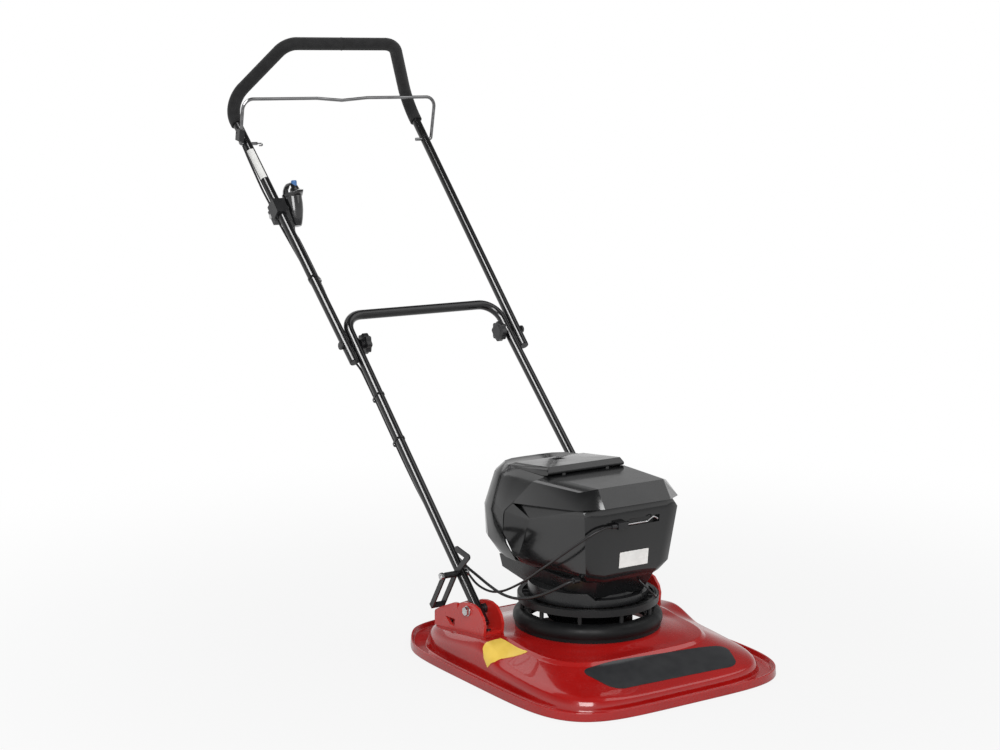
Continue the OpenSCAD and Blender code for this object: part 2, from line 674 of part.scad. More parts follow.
// Control cable end on the front panel
ferrule_y = panel_y - 7;
ferrule_z = slot_z - 1;
module cable_anchor() {
    color("#151618") difference() {
        union() {
            translate([-52, ferrule_y - 6, ferrule_z - 7]) cube([24, 12.6, 14]);
            translate([0, ferrule_y, ferrule_z]) rod_x(-66, -27, 9);
        }
        translate([0, ferrule_y, ferrule_z]) rod_x(-70, 0, 3.4);
        translate([0, ferrule_y, ferrule_z]) rod_x(-70, -60, cable_d + 2 * run);
    }
}
// Bent rod that the cable pulls across the slot
module interlock_rod() {
    hook_z = ferrule_z + 2;
    color("silver") bent_rod([[-58, ferrule_y, ferrule_z], [24, ferrule_y, ferrule_z],
        [40, ferrule_y, ferrule_z + 9], [52, ferrule_y, hook_z], [52, panel_y + 6, hook_z]], [8, 8, 3], 3);
}
gland_d = 12;
gland_len = 14;
gland_x = -100.4;
gland_y = -104;
gland_z = head_z + 4;
module lead_gland() {
    color("#111213") translate([gland_x, gland_y, gland_z]) difference() {
        rotate([0, -90, 0]) cylinder(d = gland_d, h = gland_len);
        translate([1, 0, 0]) rotate([0, -90, 0]) cylinder(d = lead_d + 2 * run, h = 20);
    }
}
sensor_top = guard_z + guard_h + sensor_d / 2 + 0.3;
sensor_route = [[40, -121.4, 191.4], [49, -133, 178], [64, -138, 162], [80, -126, 152],
    [94, -111, sensor_top + 1.5], [108, -95, sensor_top + 0.3], [124, -70, sensor_top + 0.1]];
module sensor_lead() { color("#101010") cord(sensor_route, sensor_d); }

// Handle: everything below is drawn along the handle, with Y up the tubes
module on_handle() {
    translate([0, pivot_y, pivot_z]) rotate([handle_angle, 0, 0]) children();
}
function handle_point(p) = [p[0], pivot_y + p[1] * cos(handle_angle) - p[2] * sin(handle_angle),
    pivot_z + p[1] * sin(handle_angle) + p[2] * cos(handle_angle)];
bush_d = 14;
latch_at = 90;
lower_path = [[-leg_x, -tail_len, 0], [-leg_x, lower_len, 0], [leg_x, lower_len, 0], [leg_x, -tail_len, 0]];
module lower_handle() {
    color("#141414") on_handle() difference() {
        bent_tube(lower_path, [46, 46], tube_d, tube_wall);
        rod_x(-leg_x - tube_d, -leg_x + tube_d, bush_d + 2 * run);
        rod_x(leg_x - tube_d, leg_x + tube_d, bush_d + 2 * run);
        translate([0, fold_at, 0]) both_sides() rod_x(leg_x - tube_d, leg_x + tube_d, fold_bolt_d + 2 * run);
        translate([0, latch_at, 0]) rod_x(-leg_x - tube_d, -leg_x + tube_d, fold_bolt_d + 2 * run);
    }
}
// Flanged bushes, one from each side of each lower tube
module pivot_bushes() {
    flange = bracket_w / 2 - ear_t - clear;
    color("ivory") on_handle() both_sides() translate([leg_x, 0, 0]) both_sides() difference() {
        union() {
            rod_x(2, flange, bush_d);
            rod_x(tube_d / 2 + seat_gap, flange, bush_d + 6);
        }
        rod_x(-flange - 1, flange + 1, pivot_bolt_d + 2 * run);
    }
}
module tube_plug(a, b) {
    along(a, b) {
        translate([0, 0, -2.5]) cylinder(d = tube_d - 1, h = 2.5 - seat_gap);
        translate([0, 0, -1]) cylinder(d = tube_d - 2 * tube_wall - 2 * run, h = 10);
    }
}
module lower_plugs() {
    color("#0c0c0c") on_handle() both_sides() tube_plug([leg_x, -tail_len, 0], [leg_x, 0, 0]);
}
// Fold joint: the upper tubes lie outside the lower ones
fold_at = lower_len - fold_back;
upper_start = fold_at - 47;
upper_foot_x = leg_x + tube_d + 1.2;
upper_splay = 0.0295;
function upper_x(s) = upper_foot_x + upper_splay * (s - upper_start);
corner_at = fold_at + upper_len;
corner_x = upper_x(corner_at);
grip_lean = 22;
upper_path = [[-upper_foot_x, upper_start, 0], [-corner_x, corner_at, 0],
    [-grip_half_w, corner_at + grip_lean, grip_rise], [grip_half_w, corner_at + grip_lean, grip_rise],
    [corner_x, corner_at, 0], [upper_foot_x, upper_start, 0]];
upper_radii = [62, 48, 48, 62];
bolt_head_x = upper_x(fold_at) + tube_d / 2 + clear;
knob_x = leg_x - tube_d / 2 - clear;
module fold_bolts() {
    color("silver") on_handle() translate([0, fold_at, 0]) both_sides() {
        rod_x(knob_x - knob_h + 6, bolt_head_x + eps, fold_bolt_d);
        rod_x(bolt_head_x, bolt_head_x + 5, 18);
    }
}
module fold_washers() {
    color("dimgray") on_handle() translate([0, fold_at, 0]) both_sides() difference() {
        rod_x(leg_x + tube_d / 2 + 0.1, upper_x(fold_at) - tube_d / 2 - 0.5, 22);
        rod_x(leg_x, leg_x + 2 * tube_d, fold_bolt_d + 2 * run);
    }
}
// Lobed clamp knob with a blind bore for its bolt
knob_lobes = 8;
module knob() {
    translate([knob_x, fold_at, 0]) rotate([0, -90, 0]) difference() {
        union() {
            cylinder(d = 22, h = knob_h - 8);
            translate([0, 0, 6]) linear_extrude(knob_h - 9) polygon([for (k = [0:63])
                let (a = 360 * k / 64, r = knob_d / 2 * (0.93 + 0.07 * cos(knob_lobes * a)))
                [r * cos(a), r * sin(a)]]);
            translate([0, 0, knob_h - 3 - eps]) cylinder(d1 = knob_d * 0.82, d2 = knob_d * 0.6, h = 3);
        }
        translate([0, 0, -1]) cylinder(d = fold_bolt_d + 2 * run, h = knob_h - 4);
    }
}
module knob_left() { color("#101113") on_handle() knob(); }
module knob_right() { color("#101113") on_handle() mirror([1, 0, 0]) knob(); }

// Handle latch: a flat bar with a finger tab above its bolt and a loop below
latch_t = 4;
latch_in = -leg_x - tube_d / 2 - 1;
latch_gap = 24;
latch_out = latch_in - latch_t - latch_gap;
loop_lean = 18;
tab_at = [latch_at - 2, 68];
tab_end = [latch_at + 34, 44];
module bar_yz(x0, x1, a, b, w) {
    shape_yz(x0, x1) hull() {
        translate(a) circle(d = w);
        translate(b) circle(d = w);
    }
}
module latch_leg(x0) {
    bar_yz(x0 - latch_t, x0, [latch_at, 0], [latch_at - loop_lean, -latch_len], latch_w);
}
module handle_latch() {
    color("#1c1d1f") on_handle() difference() {
        union() {
            latch_leg(latch_in);
            latch_leg(latch_out);
            bar_yz(latch_in - latch_t, latch_in, [latch_at, 0], tab_at, latch_w);
            bar_yz(latch_in - latch_t, latch_in, tab_at, tab_end, latch_w);
            translate([latch_out - latch_t, latch_at - loop_lean - latch_w / 2, -latch_len - latch_w / 2])
                cube([2 * latch_t + latch_gap, latch_w, latch_t]);
        }
        translate([0, latch_at, 0]) rod_x(latch_out - 20, latch_in + 20, fold_bolt_d + 2 * run);
    }
}
module latch_bolt() {
    color("silver") on_handle() translate([0, latch_at, 0]) {
        rod_x(latch_out - latch_t - 9, -leg_x + tube_d / 2 + 1, fold_bolt_d);
        hex_x(latch_out - latch_t - 8, latch_out - latch_t - 0.3, 13);
        rod_x(-leg_x + tube_d / 2 + seat_gap, -leg_x + tube_d / 2 + 5, 17);
    }
}
// Sleeve between the two legs of the latch
module latch_spacer() {
    color("gainsboro") on_handle() translate([0, latch_at, 0]) difference() {
        rod_x(latch_out + 0.3, latch_in - latch_t - 0.3, fold_bolt_d + 5);
        rod_x(latch_out - 5, latch_in + 5, fold_bolt_d + 2 * run);
    }
}

// Upper handle with its foam sleeve
module upper_handle() {
    color("#141414") on_handle() difference() {
        bent_tube(upper_path, upper_radii, tube_d, tube_wall);
        translate([0, fold_at, 0]) both_sides()
            rod_x(leg_x + tube_d / 2, leg_x + 2 * tube_d, fold_bolt_d + 2 * run);
        translate([0, bail_at, 0]) both_sides()
            rod_x(upper_x(bail_at) - tube_d, upper_x(bail_at) + tube_d, bail_d + 2 * run);
    }
}
module upper_plugs() {
    color("#0c0c0c") on_handle() both_sides()
        tube_plug([upper_foot_x, upper_start, 0], [corner_x, corner_at, 0]);
}
foam_from = corner_at - 66;
foam_path = [[-upper_x(foam_from), foam_from, 0], upper_path[1], upper_path[2], upper_path[3], upper_path[4],
    [upper_x(foam_from), foam_from, 0]];
module grip_sleeve() {
    color("#232426") on_handle()
        bent_tube(foam_path, upper_radii, foam_d, (foam_d - tube_d) / 2 - 0.25);
}

// Bail bar: a bent rod that hinges in the upper tubes
bail_back = 130;
bail_at = corner_at - bail_back;
bail_reach = 108;
bail_lean = 56.3;
bail_gap = 2.6;
bail_x = upper_x(bail_at) + tube_d / 2 + bail_d / 2 + bail_gap;
bail_tip = [bail_at + bail_reach * cos(bail_lean), bail_reach * sin(bail_lean)];
bail_pin_in = upper_x(bail_at) - tube_d / 2 - 16;
wire_d = 3.4;
bail_half = [[70, bail_tip[0], bail_tip[1]], [bail_x, bail_tip[0], bail_tip[1]], [bail_x, bail_at, 0],
    [bail_pin_in, bail_at, 0]];
bail_path = concat([for (k = [3:-1:0]) [-bail_half[k][0], bail_half[k][1], bail_half[k][2]]],
    [[0, bail_tip[0] - 3, bail_tip[1] - 5]], bail_half);
module bail_bar() {
    wire_x = -bail_pin_in;
    color("#6f7276") on_handle() {
        bent_rod(bail_path, [5, 26, 40, 40, 40, 26, 5], bail_d);
        // Wire eye on the end of the pin
        bent_rod([[wire_x - 3, bail_at, 0], [wire_x + 12, bail_at, 0], [wire_x + 12, bail_at - 7, 0],
            [wire_x + 3, bail_at - 7, 0]], [3, 3], wire_d);
    }
}
// Moulded lever on the bail that pulls the control cable
module bail_block() {
    color("#111213") on_handle() translate([0, bail_at, 0]) rotate([bail_lean, 0, 0]) difference() {
        translate([-bail_x - 9, 8, -10]) cube([13.6, 28, 20]);
        translate([-bail_x, 0, 0]) rotate([-90, 0, 0]) cylinder(d = bail_d + 2 * eps, h = 60);
        translate([0, 26, -6]) rod_x(-bail_x - 10, -bail_x - 5.6, cable_d);
    }
}

// Switch pod beside the upper tube, upright when the handle is at rest
clamp_back = 338;
clamp_at = corner_at - clamp_back;
pod_at = [-201, clamp_at - 34, -26];
pod_lean = 29;
pod_len = 106;
pod_r = 22.5;
clamp_wall = 3;
clamp_x = -upper_x(clamp_at);
clamp_in = clamp_x + tube_d / 2 + clamp_wall;
clamp_out = clamp_x - tube_d / 2 - 2 * clamp_wall;
module pod_frame() {
    translate(pod_at) rotate([pod_lean - 90, 0, 0]) children();
}
module button_frame() {
    pod_frame() translate([4, -8, pod_len - 16]) rotate([14, 0, 0]) children();
}
module switch_pod() {
    boss_x = clamp_in + 0.3 - pod_at[0];
    color("#161719") on_handle() difference() {
        pod_frame() union() {
            rotate_extrude() polygon([[0, 0], [pod_r - 11, 0], [pod_r - 8.5, 5], [pod_r - 5, 18],
                [pod_r - 1.5, 36], [pod_r, 52], [pod_r, 68], [pod_r - 1, 80], [pod_r - 2.5, 88],
                [pod_r - 6, 96], [pod_r - 11, 102], [0, pod_len]]);
            hull() {
                translate([0, 0, 71]) cylinder(r = pod_r + 1.5, h = 6);
                translate([8, -27, 79]) rotate([20, 0, 0]) cylinder(r = 8, h = 4);
            }
            translate([boss_x, -10, 14]) cube([-12 - boss_x, 20, 34]);
        }
        button_frame() cylinder(d = button_d + 1, h = 40);
        pod_frame() translate([-8, 0, -1]) cylinder(d = lead_d + 2 * run, h = 12);
    }
}
module start_button() {
    color("#1f6fb2") on_handle() button_frame() translate([0, 0, button_travel + 0.3]) {
        cylinder(d = button_d, h = 12);
        translate([0, 0, 12 - eps]) cylinder(d1 = button_d, d2 = button_d - 4, h = 2.5);
    }
}
// Clamp that holds the pod on the tube, with a slit and a screw below the tube
module pod_clamp() {
    low = -tube_d / 2 - 23;
    color("#0f1011") on_handle() difference() {
        translate([clamp_out, clamp_at - 20, low]) cube([clamp_in - clamp_out, 40, tube_d / 2 + 5 - low]);
        along([-upper_x(clamp_at - 60), clamp_at - 60, 0], [-upper_x(clamp_at + 60), clamp_at + 60, 0])
            cylinder(d = tube_d + 2 * run, h = 121);
        translate([0, clamp_at, low + 8]) rod_x(clamp_out - 1, clamp_out + 40, 6 + 2 * run);
        translate([clamp_out - 1, clamp_at - 21, low + 15]) cube([18, 42, 2]);
        translate([clamp_out - 1, clamp_at - 21, low - 6]) cube([8, 42, 21]);
    }
}
module pod_screw() {
    low = -tube_d / 2 - 15;
    color("silver") on_handle() translate([clamp_out + 7, clamp_at, low]) {
        rod_x(-2, 22, 6);
        rod_x(-4, -seat_gap, 13);
    }
}

// Cables, as hand-chosen points along the handle.
// Where two stretches meet, both are cut square to the tubes.
down = [0, -1, 0];
run_from = fold_at + 23;
// A point beside the left upper tube: offset from its axis, share of the way from the fold joint
// to the clamp, and height
function beside(p) = let (s = run_from + (clamp_at - run_from) * p[1]) [-upper_x(s) + p[0], s, p[2]];
lead_upper_route = concat(
    [for (p = [[-8, -0.4, -0.4], [-9, -12, -5], [-12, -30, 0], [-16, -54, 9]]) pod_at + p],
    [for (p = [[21.4, 0.55, -12.5], [19.8, 0.4, -12], [17.2, 0.24, -13], [12.5, 0.09, -14]]) beside(p)],
    [[-222, run_from, -15]]);
// A point beside the left lower tube: offset from its axis, share of the way up to the fold joint, height
free_at = 134;
function on_leg(p) = [-leg_x + p[0], free_at + (fold_at - 63 - free_at) * p[1], p[2]];
lead_lower_route = [for (p = [[5, 1, -15], [5, 0.84, -15], [5, 0.68, -15], [6, 0.53, -15], [7, 0.37, -14],
    [8, 0.23, -13], [10, 0.13, -12], [12, 0.05, -10], [14, 0, -8]]) on_leg(p)];
lead_fold_route = [[-222, run_from, -15], [-217, fold_at + 2, -18], [-208, fold_at - 23, -20],
    [-203, fold_at - 43, -18], lead_lower_route[0]];
cable_pull_route = [for (p = [[-24.2, 194, 8], [-23.2, 178, 6], [-21.2, 156, 2], [-18.2, 118, -3],
    [-16.2, 68, -6], [-13.2, 38, -8], [-12.2, 20.4, -8]]) p + [clamp_x, clamp_at, 0]];
cable_upper_route = concat(
    [for (p = [[-8.2, -20.4, -14], [-6.2, -36, -14], [-3.2, -72, -14]]) p + [clamp_x, clamp_at, 0]],
    [for (p = [[1.7, 0.55, -15], [2.5, 0.4, -15], [2.2, 0.24, -15], [2.5, 0.09, -15]]) beside(p)],
    [[-230, run_from, -16]]);
cable_lower_route = [for (p = [[-5, 1, -15], [-4, 0.84, -15], [-4, 0.68, -15], [-4, 0.53, -15],
    [-1, 0.37, -17], [5, 0.23, -19], [11, 0.13, -19], [16, 0.05, -16], [19, 0, -13]]) on_leg(p)];
cable_fold_route = [[-230, run_from, -16], [-227, fold_at + 2, -20], [-220, fold_at - 23, -21],
    [-214, fold_at - 43, -18], cable_lower_route[0]];
module cord_on_handle(route, d, first = down) { color("#101010") on_handle() cord(route, d, [first, down]); }
module lead_upper() {
    cord_on_handle(lead_upper_route, lead_d, [0, -cos(pod_lean), -sin(pod_lean)]);
}
module lead_fold() { cord_on_handle(lead_fold_route, lead_d); }
module lead_lower() { cord_on_handle(lead_lower_route, lead_d); }
module cable_upper() {
    cord_on_handle(cable_pull_route, cable_d, unit([1, -16, -2]));
    cord_on_handle(cable_upper_route, cable_d, unit([4, -40, 0]));
}
module cable_fold() { cord_on_handle(cable_fold_route, cable_d); }
module cable_lower() { cord_on_handle(cable_lower_route, cable_d); }

// Free stretches from the handle to the motor head
down_handle = [0, -cos(handle_angle), -sin(handle_angle)];
lead_free_route = concat([handle_point(on_leg([14, 0, -8]))],
    [[-185, 180, 184], [-181, 145, 172], [-178, 105, 160], [-174, 65, 151], [-168, 25, 150],
    [-162, -15, 159], [-153, -52, 174], [-141, -82, 191], [-127, -101, 205],
    [gland_x - gland_len - 0.2, gland_y, gland_z]]);
cable_free_route = concat([handle_point(on_leg([19, 0, -13]))],
    [[-180, 185, 170], [-175, 155, 150], [-170, 115, 144], [-166, 75, 153], [-163, 35, 172],
    [-160, -10, 198], [-156, -50, 226], [-148, -90, 255], [-132, -130, 288], [-108, -156, 314],
    [-80, ferrule_y, ferrule_z], [-66.2, ferrule_y, ferrule_z]]);
module lead_free() { color("#101010") cord(lead_free_route, lead_d, [down_handle, [1, 0, 0]]); }
module cable_free() { color("#101010") cord(cable_free_route, cable_d, [down_handle, [1, 0, 0]]); }

// Cable ties round a tube and its cables
module tie(s, x, at, reach) {
    translate([0, s, 0]) rotate([90, 0, 0]) linear_extrude(5, center = true) difference() {
        hull() {
            translate([x, 0]) circle(d = tube_d + 3);
            translate(at) circle(d = reach + 3);
        }
        hull() {
            translate([x, 0]) circle(d = tube_d + 0.4);
            translate(at) circle(d = reach + 0.4);
        }
    }
}
module lower_ties() {
    color("#0a0a0a") on_handle() {
        for (share = [0.84, 0.6])
            tie(on_leg([0, share, 0])[1], -leg_x, [-leg_x + 0.3, -15], 17);
    }
}
module upper_ties() {
    at = beside([0, 0.45, 0]);
    color("#0a0a0a") on_handle() tie(at[1], at[0], [at[0] + 12.1, -13.5], 24);
}

deck_shell();
bracket_right();
bracket_left();
bracket_screws();
pivot_bolts();
intake_bell();
intake_guard();
motor_base();
motor_bearings();
motor_stator();
lower_housing();
front_hood();
hood_screws();
hinge_pin();
battery_pack();
battery_rails();
motor_controller();
cable_anchor();
lead_gland();
sensor_lead();
battery_cover();
motor_shaft();
motor_rotor();
impeller();
blade_spacers();
cutter_bar();
blade_bolt();
lower_handle();
pivot_bushes();
lower_plugs();
fold_bolts();
fold_washers();
latch_bolt();
latch_spacer();
lower_ties();
lead_lower();
cable_lower();
knob_right();
knob_left();
handle_latch();
upper_handle();
upper_plugs();
grip_sleeve();
switch_pod();
pod_clamp();
pod_screw();
upper_ties();
lead_upper();
cable_upper();
bail_bar();
bail_block();
start_button();
interlock_rod();
lead_fold();
cable_fold();
lead_free();
cable_free();
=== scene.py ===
import json
import math

import bmesh
import bpy
from mathutils import Matrix, Vector
from mathutils.bvhtree import BVHTree


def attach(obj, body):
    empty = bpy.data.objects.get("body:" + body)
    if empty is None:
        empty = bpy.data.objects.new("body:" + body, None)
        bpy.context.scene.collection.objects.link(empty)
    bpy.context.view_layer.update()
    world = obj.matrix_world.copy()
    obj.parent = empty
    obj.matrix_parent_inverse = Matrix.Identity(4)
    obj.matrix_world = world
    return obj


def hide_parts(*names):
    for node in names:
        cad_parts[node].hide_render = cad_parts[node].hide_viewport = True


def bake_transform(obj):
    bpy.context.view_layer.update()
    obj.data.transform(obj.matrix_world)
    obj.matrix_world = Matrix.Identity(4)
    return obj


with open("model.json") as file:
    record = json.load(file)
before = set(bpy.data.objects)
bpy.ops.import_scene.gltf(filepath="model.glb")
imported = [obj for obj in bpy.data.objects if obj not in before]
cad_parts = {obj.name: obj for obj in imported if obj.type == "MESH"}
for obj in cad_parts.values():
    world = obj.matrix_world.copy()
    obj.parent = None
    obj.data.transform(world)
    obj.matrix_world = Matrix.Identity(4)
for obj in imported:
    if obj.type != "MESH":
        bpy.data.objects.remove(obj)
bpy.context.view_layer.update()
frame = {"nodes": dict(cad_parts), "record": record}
nodes = frame["nodes"]
bodyOf = {n: b for b, group in frame["record"]["behaviour"]["bodies"].items() for n in group}


# camera at the photo's place, from the fitted position and angles
photoView = {
    "place": (-2.3307, -3.1268, 1.2584),
    "turn": -0.593,
    "down": 0.1667,
    "roll": 0.0032,
    "lens": 69.24,
}


def makeCamera(spec):
    lens = bpy.data.cameras.new("photoView")
    lens.sensor_width = 36.0
    lens.lens = spec["lens"]
    lens.clip_end = 60.0
    eye = bpy.data.objects.new("photoView", lens)
    bpy.context.scene.collection.objects.link(eye)
    turn, down, roll = spec["turn"], spec["down"], spec["roll"]
    back = Vector((math.sin(turn) * math.cos(down), -math.cos(turn) * math.cos(down), math.sin(down)))
    right = Vector((math.cos(turn), math.sin(turn), 0.0))
    up = back.cross(right)
    side = right * math.cos(roll) + up * math.sin(roll)
    top = up * math.cos(roll) - right * math.sin(roll)
    place = Matrix((side, top, back)).transposed().to_4x4()
    place.translation = Vector(spec["place"])
    eye.matrix_world = place
    bpy.context.scene.camera = eye


makeCamera(photoView)


# material helpers: every pattern reads Object coordinates
def startMaterial(name, color, rough, metal=0.0, coat=0.0, coatRough=0.04, level=0.5):
    mat = bpy.data.materials.new(name)
    mat.use_nodes = True
    shader = mat.node_tree.nodes["Principled BSDF"]
    shader.inputs["Base Color"].default_value = (*color, 1.0)
    shader.inputs["Roughness"].default_value = rough
    shader.inputs["Metallic"].default_value = metal
    shader.inputs["Coat Weight"].default_value = coat
    shader.inputs["Coat Roughness"].default_value = coatRough
    shader.inputs["Specular IOR Level"].default_value = level
    return mat, mat.node_tree, shader


def noiseField(tree, scale, detail=3.0, stretch=(1.0, 1.0, 1.0)):
    coords = tree.nodes.new("ShaderNodeTexCoord")
    mapping = tree.nodes.new("ShaderNodeMapping")
    mapping.inputs["Scale"].default_value = stretch
    noise = tree.nodes.new("ShaderNodeTexNoise")
    noise.inputs["Scale"].default_value = scale
    noise.inputs["Detail"].default_value = detail
    tree.links.new(coords.outputs["Object"], mapping.inputs["Vector"])
    tree.links.new(mapping.outputs["Vector"], noise.inputs["Vector"])
    return noise.outputs["Fac"]


def cellField(tree, scale):
    coords = tree.nodes.new("ShaderNodeTexCoord")
    cells = tree.nodes.new("ShaderNodeTexVoronoi")
    cells.inputs["Scale"].default_value = scale
    tree.links.new(coords.outputs["Object"], cells.inputs["Vector"])
    return cells.outputs["Distance"]


def rampTo(tree, field, socket, low, high, fromPos=0.35, toPos=0.65):
    ramp = tree.nodes.new("ShaderNodeValToRGB")
    ramp.color_ramp.elements[0].position = fromPos
    ramp.color_ramp.elements[1].position = toPos
    ramp.color_ramp.elements[0].color = low
    ramp.color_ramp.elements[1].color = high
    tree.links.new(field, ramp.inputs["Fac"])
    tree.links.new(ramp.outputs["Color"], socket)


def tint(tree, shader, low, high, scale, stretch=(1.0, 1.0, 1.0)):
    rampTo(tree, noiseField(tree, scale, 4.0, stretch), shader.inputs["Base Color"], (*low, 1.0), (*high, 1.0))


def sheenRange(tree, shader, low, high, scale, stretch=(1.0, 1.0, 1.0)):
    field = noiseField(tree, scale, 4.0, stretch)
    rampTo(tree, field, shader.inputs["Roughness"], (low, low, low, 1.0), (high, high, high, 1.0))


def relief(tree, shader, field, strength, depth):
    bump = tree.nodes.new("ShaderNodeBump")
    bump.inputs["Strength"].default_value = strength
    bump.inputs["Distance"].default_value = depth
    tree.links.new(field, bump.inputs["Height"])
    tree.links.new(bump.outputs["Normal"], shader.inputs["Normal"])


def mouldedPlastic(name, dark, light, rough, coat, grain, strength, coatRough=0.05, level=0.5):
    mat, tree, shader = startMaterial(name, dark, rough, coat=coat, coatRough=coatRough, level=level)
    tint(tree, shader, dark, light, 9.0)
    sheenRange(tree, shader, rough * 0.85, rough * 1.2, 30.0)
    relief(tree, shader, noiseField(tree, grain, 2.0), strength, 0.0004)
    return mat


def platedMetal(name, dark, light, rough, stretch):
    mat, tree, shader = startMaterial(name, light, rough, metal=1.0)
    tint(tree, shader, dark, light, 140.0, stretch)
    sheenRange(tree, shader, rough * 0.7, rough * 1.4, 90.0, stretch)
    relief(tree, shader, noiseField(tree, 900.0, 2.0, stretch), 0.06, 0.0002)
    return mat


def flatLabel(name, dark, light, rough):
    mat, tree, shader = startMaterial(name, dark, rough, coat=0.15, coatRough=0.1)
    tint(tree, shader, dark, light, 40.0)
    relief(tree, shader, noiseField(tree, 260.0, 2.0), 0.04, 0.0002)
    return mat


deckRed = mouldedPlastic("deckRed", (0.30, 0.0035, 0.003), (0.35, 0.006, 0.005),
                         rough=0.24, coat=0.75, grain=60.0, strength=0.002, coatRough=0.03, level=0.3)
bracketRed = mouldedPlastic("bracketRed", (0.46, 0.014, 0.010), (0.54, 0.020, 0.015),
                            rough=0.30, coat=0.4, grain=420.0, strength=0.04)
headGloss = mouldedPlastic("headGloss", (0.0055, 0.0057, 0.006), (0.008, 0.0082, 0.0087),
                           rough=0.16, coat=0.3, grain=600.0, strength=0.01)
headSatin = mouldedPlastic("headSatin", (0.007, 0.0072, 0.008), (0.011, 0.0113, 0.012),
                           rough=0.28, coat=0.1, grain=900.0, strength=0.04, coatRough=0.15)
baseSatin = mouldedPlastic("baseSatin", (0.006, 0.0062, 0.0067), (0.009, 0.0093, 0.01),
                           rough=0.36, coat=0.0, grain=900.0, strength=0.08, level=0.35)
bellRubber = mouldedPlastic("bellRubber", (0.004, 0.0042, 0.0046), (0.006, 0.0062, 0.0066),
                            rough=0.46, coat=0.0, grain=1200.0, strength=0.1, level=0.2)
tubeCoat = mouldedPlastic("tubeCoat", (0.0045, 0.0045, 0.005), (0.0065, 0.0065, 0.007),
                          rough=0.18, coat=0.1, grain=300.0, strength=0.002)
latchCoat = mouldedPlastic("latchCoat", (0.012, 0.012, 0.013), (0.02, 0.02, 0.021),
                           rough=0.34, coat=0.0, grain=800.0, strength=0.10)
fittingBlack = mouldedPlastic("fittingBlack", (0.007, 0.007, 0.008), (0.012, 0.012, 0.013),
                              rough=0.34, coat=0.1, grain=1000.0, strength=0.1, coatRough=0.2)
podGloss = mouldedPlastic("podGloss", (0.006, 0.0062, 0.0066), (0.009, 0.0093, 0.01),
                          rough=0.16, coat=0.4, grain=800.0, strength=0.02)
cableSheath = mouldedPlastic("cableSheath", (0.008, 0.008, 0.0085), (0.014, 0.014, 0.015),
                             rough=0.42, coat=0.0, grain=1500.0, strength=0.10)
buttonBlue = mouldedPlastic("buttonBlue", (0.02, 0.12, 0.34), (0.03, 0.16, 0.42),
                            rough=0.22, coat=0.6, grain=500.0, strength=0.03)
packBlack = mouldedPlastic("packBlack", (0.011, 0.011, 0.012), (0.018, 0.018, 0.02),
                           rough=0.42, coat=0.0, grain=1100.0, strength=0.12)
boardGreen = mouldedPlastic("boardGreen", (0.02, 0.07, 0.035), (0.035, 0.11, 0.05),
                            rough=0.45, coat=0.0, grain=700.0, strength=0.06)
zincBright = platedMetal("zincBright", (0.48, 0.48, 0.49), (0.66, 0.66, 0.66),
                         rough=0.26, stretch=(1.0, 1.0, 1.0))
# the bail bar's plated metal is much darker than the bolts' zinc: painted dark reflection, standing in for the dark
# surroundings the bar mirrors
bailZinc = platedMetal("bailZinc", (0.17, 0.17, 0.173), (0.25, 0.25, 0.254),
                       rough=0.12, stretch=(0.2, 1.0, 1.0))
bladeSteel = platedMetal("bladeSteel", (0.10, 0.10, 0.105), (0.20, 0.20, 0.205),
                         rough=0.38, stretch=(0.15, 1.0, 1.0))
windingCopper = platedMetal("windingCopper", (0.42, 0.17, 0.08), (0.62, 0.28, 0.14),
                            rough=0.34, stretch=(1.0, 1.0, 6.0))
patchDark = flatLabel("patchDark", (0.018, 0.019, 0.021), (0.026, 0.027, 0.029), rough=0.32)
patchYellow = flatLabel("patchYellow", (0.72, 0.48, 0.06), (0.80, 0.55, 0.09), rough=0.40)
patchWhite = flatLabel("patchWhite", (0.74, 0.74, 0.72), (0.82, 0.82, 0.80), rough=0.42)


def foamMaterial():
    mat, tree, shader = startMaterial("gripFoam", (0.02, 0.02, 0.021), 0.85, level=0.3)
    tint(tree, shader, (0.011, 0.011, 0.0115), (0.017, 0.017, 0.0175), 60.0)
    shader.inputs["Sheen Weight"].default_value = 0.12
    relief(tree, shader, cellField(tree, 900.0), 0.2, 0.0005)
    return mat


gripFoam = foamMaterial()
seamDark = mouldedPlastic("seamDark", (0.004, 0.004, 0.004), (0.006, 0.006, 0.006),
                          rough=0.7, coat=0.0, grain=900.0, strength=0.1)
print("materials: %d made" % len(bpy.data.materials))


# finishing helpers
def addPiece(name, bm, material, sharpAngle=32.0, weighted=True):
    for face in bm.faces:
        face.smooth = True
    mesh = bpy.data.meshes.new(name)
    bm.to_mesh(mesh)
    bm.free()
    mesh.set_sharp_from_angle(angle=math.radians(sharpAngle))
    mesh.materials.append(material)
    piece = bpy.data.objects.new(name, mesh)
    bpy.context.scene.collection.objects.link(piece)
    if weighted:
        normals = piece.modifiers.new("evenNormals", "WEIGHTED_NORMAL")
        normals.keep_sharp = True
        normals.weight = 80
    return piece


def seat(piece, body, replaced=()):
    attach(piece, body)
    if replaced:
        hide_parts(*replaced)
    return piece


cadWeld = 0.00002
tubeWeld = 0.000005
flatLimit = math.radians(0.5)


